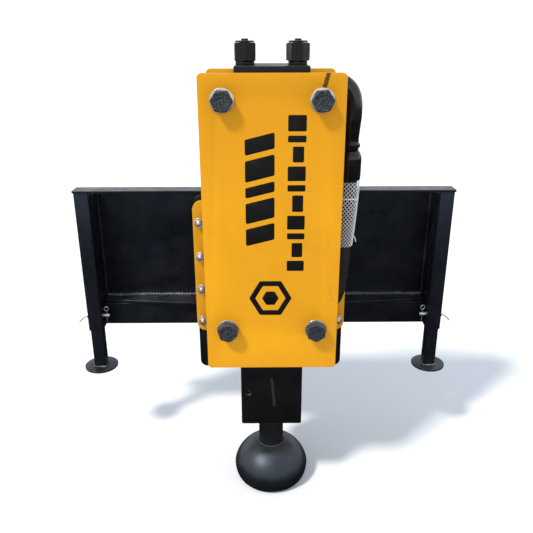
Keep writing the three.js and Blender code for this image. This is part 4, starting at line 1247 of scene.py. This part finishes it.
for side, sign in (("left", -1), ("right", 1)):
    word = side.capitalize()
    low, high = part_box(f"leg_sleeve_{side}")
    legLow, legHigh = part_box(f"leg_{side}")
    foot = (legLow + legHigh) / 2
    x, y = foot.x, foot.y
    clipAt = centre(f"leg_clip_{side}")
    pinLow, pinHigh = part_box(f"leg_pin_{side}")
    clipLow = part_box(f"leg_clip_{side}")[0]
    pinZ = pinHigh.z - 0.010
    innerX = x - sign * legs["sleeve"] / 2

    sleeve = squareTube(x, y, legs["sleeve"], legs["wall"], legs["corner"], low.z, high.z)
    webLow, webHigh = sorted((innerX, innerX + sign * 0.008))
    web = sectionBar([[(y + legs["sleeve"] / 2 - 0.001, low.z), (high.y, low.z), (high.y, topOfPlate),
                       (y + legs["sleeve"] / 2 - 0.001, topOfPlate)]], webLow, webHigh, 0.0008)
    sleevePiece = finishMesh(sleeve, f"legSleeve{word}")
    carve(sleevePiece, [rodTool((x - 0.06, y, pinZ), (x + 0.06, y, pinZ), legs["hole"], 28)])
    dress(sleevePiece, chassisBlack, f"leg_sleeve_{side}")
    dress(finishMesh(web, f"sleeveWeb{word}"), chassisBlack)

    footTop = legLow.z + legs["footThick"]
    leg = finishMesh(squareTube(x, y, legs["leg"], legs["wall"], 0.004, footTop, legHigh.z),
                     f"parkingLeg{word}")
    slot = boxTool((x - 0.06, y - legs["hole"], pinZ + legs["slotLow"]),
                   (x + 0.06, y + legs["hole"], pinZ + legs["slotHigh"]))
    carve(leg, [slot, rodTool((x - 0.06, y, pinZ + legs["spare"]), (x + 0.06, y, pinZ + legs["spare"]),
                              legs["hole"], 28)])
    dress(leg, chassisBlack, f"leg_{side}", body=f"parking_leg_{side}")
    disc = moved(easedTurn([(0, legLow.z), (legs["foot"] - 0.0005, legLow.z), (legs["foot"], footTop),
                            (0, footTop + 0.0001)], 0.0012, 72), x, y)
    dress(finishMesh(disc, f"legFoot{word}"), chassisBlack, body=f"parking_leg_{side}")

    # pin: rod through the tubes, collar outside, bent wire tail
    outerX = x + sign * (legs["sleeve"] / 2 + 0.0003)
    tipX = pinHigh.x if sign < 0 else pinLow.x
    length = abs(outerX - tipX)
    rod = laid(easedTurn([(0, 0), (0.006, 0), (0.006, length - 0.001), (0.0046, length), (0, length)],
                         0.0006, 32), (-sign, 0, 0), (outerX, y, pinZ))
    collar = laid(easedTurn([(0, 0), (0.010, 0), (0.010, 0.005), (0, 0.005)], 0.0008, 36), (sign, 0, 0),
                  (outerX, y, pinZ))
    tail = smoothPath([(outerX + sign * 0.003, y, pinZ), (outerX + sign * 0.012, y - 0.001, pinZ - 0.003),
                       (outerX + sign * 0.024, y - 0.003, pinZ - 0.012),
                       (outerX + sign * 0.033, y - 0.005, pinZ - 0.022)], 24)
    wire = sweepPart(tail, lambda t: 0.0022 * (1 - max(0, t * 24 - 23) * 0.5), 16)
    pinPiece = finishMesh(joinParts([rod, collar, wire]), f"legPin{word}")
    carve(pinPiece, [rodTool((clipAt.x, y, pinZ - 0.03), (clipAt.x, y, pinZ + 0.03), 0.0026, 20)])
    dress(pinPiece, zincPlate, f"leg_pin_{side}", body=f"pin_{side}")

    # clip: straight leg through the pin, ring above it
    clipX = innerX - sign * 0.012
    ring = [(clipX, y, clipLow.z), (clipX, y, clipLow.z + 0.020), (clipX, y, pinZ + 0.013)]
    for k in range(0, 15):
        a = 2 * math.pi * 0.92 * k / 14
        ring.append((clipX + 0.007 * math.sin(a), y, pinZ + 0.023 - 0.007 * math.cos(a)))
    clip = sweepPart(smoothPath(ring, 70), 0.0018, 14)
    dress(finishMesh(clip, f"legClip{word}"), zincPlate, f"leg_clip_{side}", body=f"clip_{side}")
print("frame and legs made")


# what repeats: weld ripples and the net's strands

# a line of points with a node tree over it; the inputs are given as a name and a kind
def startTree(name, verts, edges, inputs):
    base = bpy.data.meshes.new(name)
    base.from_pydata(verts, edges, [])
    piece = link(bpy.data.objects.new(name, base))
    tree = bpy.data.node_groups.new(name, "GeometryNodeTree")
    tree.interface.new_socket("Geometry", in_out="INPUT", socket_type="NodeSocketGeometry")
    sockets = {}
    for label, kind in inputs.items():
        socket = tree.interface.new_socket(label, in_out="INPUT", socket_type=f"NodeSocket{kind}")
        sockets[label] = socket.identifier
    tree.interface.new_socket("Geometry", in_out="OUTPUT", socket_type="NodeSocketGeometry")
    return piece, tree, sockets, addNode(tree, "NodeGroupInput")


# one ripple after another along a run of points, each a little different
def weldRun(name, points, material, width=0.0042, pitch=0.0026, seed=1, bodyName=rest):
    edges = [(k, k + 1) for k in range(len(points) - 1)]
    piece, tree, sockets, given = startTree(name, [tuple(p) for p in points], edges,
                                            {"Width": "Float", "Pitch": "Float", "Seed": "Int"})
    curve = addNode(tree, "GeometryNodeMeshToCurve", {"Mesh": given.outputs["Geometry"]})
    steps = addNode(tree, "GeometryNodeResampleCurve",
                    {"Curve": curve.outputs[0], "Length": given.outputs["Pitch"]}, mode="LENGTH")
    ripple = addNode(tree, "GeometryNodeMeshUVSphere", {"Segments": 14, "Rings": 8, "Radius": 1.0})
    tangent = addNode(tree, "GeometryNodeInputTangent")
    facing = addNode(tree, "FunctionNodeAlignRotationToVector", {"Vector": tangent.outputs[0]}, axis="X")
    swell = addNode(tree, "FunctionNodeRandomValue", {2: 0.88, 3: 1.14, "Seed": given.outputs["Seed"]})
    size = addNode(tree, "ShaderNodeMath", {0: swell.outputs[1], 1: given.outputs["Width"]},
                   operation="MULTIPLY")
    along = addNode(tree, "ShaderNodeMath", {0: given.outputs["Pitch"], 1: 1.05}, operation="MULTIPLY")
    scale = addNode(tree, "ShaderNodeCombineXYZ", {"X": along.outputs[0], "Y": size.outputs[0],
                    "Z": size.outputs[0]})
    spread = addNode(tree, "GeometryNodeInstanceOnPoints",
                     {"Points": steps.outputs[0], "Instance": ripple.outputs[0],
                      "Rotation": facing.outputs[0], "Scale": scale.outputs[0]})
    values = {"Width": width, "Pitch": pitch, "Seed": seed}
    finishTree(piece, tree, spread.outputs[0], material, {sockets[label]: value for label,
               value in values.items()})
    return dress(piece, material, body=bodyName)


# the evaluated mesh takes the place of the modifier
def finishTree(piece, tree, geometry, material, values):
    real = addNode(tree, "GeometryNodeRealizeInstances", {"Geometry": geometry})
    coated = addNode(tree, "GeometryNodeSetMaterial", {"Geometry": real.outputs[0]})
    coated.inputs["Material"].default_value = material
    done = addNode(tree, "NodeGroupOutput")
    tree.links.new(coated.outputs[0], done.inputs[0])
    modifier = piece.modifiers.new("repeats", "NODES")
    modifier.node_group = tree
    for identifier, value in values.items():
        modifier[identifier] = value
    graph = bpy.context.evaluated_depsgraph_get()
    mesh = bpy.data.meshes.new_from_object(piece.evaluated_get(graph))
    piece.modifiers.clear()
    old = piece.data
    piece.data = mesh
    mesh.name = piece.name
    bpy.data.meshes.remove(old)
    mesh.shade_smooth()


def straight(a, b, wobble=0.0006, seed=3):
    dice = random.Random(seed)
    a, b = Vector(a), Vector(b)
    count = max(4, int((b - a).length / 0.02))
    out = []
    for k in range(count + 1):
        p = a.lerp(b, k / count)
        if 0 < k < count:
            p = p + Vector([dice.uniform(-wobble, wobble) for _ in range(3)])
        out.append(p)
    return out


def ringPoints(x, y, z, radius, count=48):
    return [Vector((x + radius * math.cos(a), y + radius * math.sin(a), z))
            for a in (2 * math.pi * k / count for k in range(count + 1))]


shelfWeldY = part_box("quick_attach_plate")[0].y - 0.0015
weldRun("shelfWeld", straight((shelfLow.x + 0.004, shelfWeldY, shelfHigh.z + 0.0015),
                              (shelfHigh.x - 0.004, shelfWeldY, shelfHigh.z + 0.0015), 0.0009), weldBlack,
        0.0078, 0.0052, 4)
for side, sign in (("left", -1), ("right", 1)):
    legLow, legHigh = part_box(f"leg_{side}")
    x, y = (legLow.x + legHigh.x) / 2, (legLow.y + legHigh.y) / 2
    half = legs["leg"] / 2 + 0.0008
    z = legLow.z + legs["footThick"] + 0.0012
    corners = roundedBox(x - half, x + half, y - half, y + half, 0.005, 4)
    loop = [Vector((cx, cy, z)) for cx, cy in corners + corners[:1]]
    weldRun(f"footWeld{side.capitalize()}", loop, weldBlack, 0.0034, 0.0026, 7, f"parking_leg_{side}")
    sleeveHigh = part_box(f"leg_sleeve_{side}")[1]
    inner = x - sign * (legs["sleeve"] / 2 + 0.0006)
    front = y - legs["sleeve"] / 2
    weldRun(f"sleeveTopWeld{side.capitalize()}", straight((inner, front + 0.004, sleeveHigh.z - 0.0008),
            (inner, front + 0.044, sleeveHigh.z - 0.0008)), weldBlack, 0.0030, 0.0026, 9)
    weldRun(f"webWeld{side.capitalize()}", straight((inner, shelfWeldY - 0.0005, shelfHigh.z + 0.006),
            (inner, shelfWeldY - 0.0005, topOfPlate - 0.004)), chassisBlack, 0.0034, 0.0028, 11)
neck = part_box("driver_bell")[1].z
weldRun("bellNeckWeld", ringPoints(axis.x, axis.y, neck + 0.0002, 0.0390), bellBlack, 0.0034, 0.0030, 13,
        "tool")
rearLow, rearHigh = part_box("rear_plate")
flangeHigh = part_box("flange_plate")[1]
for side, edge in (("Left", rearLow.x - 0.0008), ("Right", rearHigh.x + 0.0008)):
    weldRun(f"flangeWeld{side}", straight((edge, flangeFront - 0.0010, rearLow.z + 0.012),
                                          (edge, flangeFront - 0.0010, flangeHigh.z - 0.004)), weldOrange,
            0.0042, 0.0030, 15)
weldRun("flangeWeldTop", straight((rearLow.x + 0.003, rearHigh.y + 0.0018, flangeHigh.z + 0.0012),
                                  (rearHigh.x - 0.003, rearHigh.y + 0.0018, flangeHigh.z + 0.0012)),
        weldOrange, 0.0036, 0.0030, 17)
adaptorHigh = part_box("adaptor_plate")[1]
for ribSide in (-1, 1):
    for face in (-1, 1):
        x = axis.x + ribSide * flange["ribX"] + face * (flange["rib"] / 2 + 0.0006)
        name = f"ribWeld{'Left' if ribSide < 0 else 'Right'}{'Out' if face == ribSide else 'In'}"
        weldRun(name, straight((x, adaptorBack + 0.0008, shelfTop + 0.004),
                               (x, adaptorBack + 0.0008, adaptorHigh.z - 0.016)), weldBlack, 0.0036,
                0.0032, 19)
print("welds made")


# the net: strands wound both ways round the hose
def netSleeve():
    net = {"strands": 16, "pitch": 0.175, "strand": 0.00066, "topRadius": 0.0262, "lowRadius": 0.0222}
    low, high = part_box("hose_net")
    tall = high.z - low.z - 0.002
    verts, edges = [], []
    for way in (-1, 1):
        start = len(verts)
        steps = 90
        for k in range(steps + 1):
            t = k / steps
            a = way * 2 * math.pi * tall * t / net["pitch"]
            reach = net["lowRadius"] + (net["topRadius"]
                                        - net["lowRadius"]) * t ** 0.7 + way * net["strand"] * 0.4
            verts.append((reach * math.cos(a), reach * math.sin(a), low.z + 0.001 + tall * t))
            if k:
                edges.append((start + k - 1, start + k))
    kinds = {"Strands": "Int", "Strand radius": "Float", "Hose X": "Float", "Hose Y": "Float",
             "Top": "Float", "Bottom": "Float"}
    piece, tree, sockets, given = startTree("hoseNet", verts, edges, kinds)
    curve = addNode(tree, "GeometryNodeMeshToCurve", {"Mesh": given.outputs["Geometry"]})
    spots = addNode(tree, "GeometryNodePoints", {"Count": given.outputs["Strands"]})
    number = addNode(tree, "GeometryNodeInputIndex")
    share = addNode(tree, "ShaderNodeMath", {0: number.outputs[0], 1: given.outputs["Strands"]},
                    operation="DIVIDE")
    angle = addNode(tree, "ShaderNodeMath", {0: share.outputs[0], 1: 2 * math.pi}, operation="MULTIPLY")
    turn = addNode(tree, "ShaderNodeCombineXYZ", {"Z": angle.outputs[0]})
    spread = addNode(tree, "GeometryNodeInstanceOnPoints",
                     {"Points": spots.outputs[0], "Instance": curve.outputs[0],
                      "Rotation": turn.outputs[0]})
    lines = addNode(tree, "GeometryNodeRealizeInstances", {"Geometry": spread.outputs[0]})
    place = addNode(tree, "GeometryNodeInputPosition")
    parts = addNode(tree, "ShaderNodeSeparateXYZ", {0: place.outputs[0]})
    fall = addNode(tree, "ShaderNodeMapRange",
                   {"Value": parts.outputs["Z"], "From Min": given.outputs["Top"],
                    "From Max": given.outputs["Bottom"]})
    sag = addNode(tree, "ShaderNodeMath", {0: fall.outputs[0], 1: 1.55}, operation="POWER")
    swing = addNode(tree, "ShaderNodeMath", {0: sag.outputs[0], 1: -0.0078}, operation="MULTIPLY")
    shiftX = addNode(tree, "ShaderNodeMath", {0: swing.outputs[0], 1: given.outputs["Hose X"]},
                     operation="ADD")
    shift = addNode(tree, "ShaderNodeCombineXYZ", {"X": shiftX.outputs[0], "Y": given.outputs["Hose Y"]})
    moved = addNode(tree, "GeometryNodeSetPosition",
                    {"Geometry": lines.outputs[0], "Offset": shift.outputs[0]})
    ring = addNode(tree, "GeometryNodeCurvePrimitiveCircle",
                   {"Resolution": 6, "Radius": given.outputs["Strand radius"]})
    tube = addNode(tree, "GeometryNodeCurveToMesh",
                   {"Curve": moved.outputs[0], "Profile Curve": ring.outputs[0], "Fill Caps": True})
    values = {"Strands": net["strands"], "Strand radius": net["strand"], "Hose X": line.x, "Hose Y": pipeY,
              "Top": high.z, "Bottom": low.z}
    finishTree(piece, tree, tube.outputs[0], netPlastic, {sockets[label]: value for label,
               value in values.items()})
    dress(piece, netPlastic)
    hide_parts("hose_net")
    # the tie that holds it, and its loose end
    tieZ = low.z + (high.z - low.z) * 0.75
    tieRing = sweepPart(ringPoints(line.x - 0.0012, pipeY, tieZ, 0.0258, 40), 0.0013, 10, False)
    endZ = low.z + (high.z - low.z) * 0.13
    loose = [(0.0150, 0.008), (0.0185, 0.004), (0.0215, -0.002), (0.0225, -0.009)]
    looseEnd = sweepPart([Vector((line.x + x, pipeY - 0.0140, endZ + z)) for x, z in loose], 0.0010, 8)
    dress(finishMesh(joinParts([tieRing, looseEnd]), "netTie"), netPlastic)


netSleeve()
print("net made")
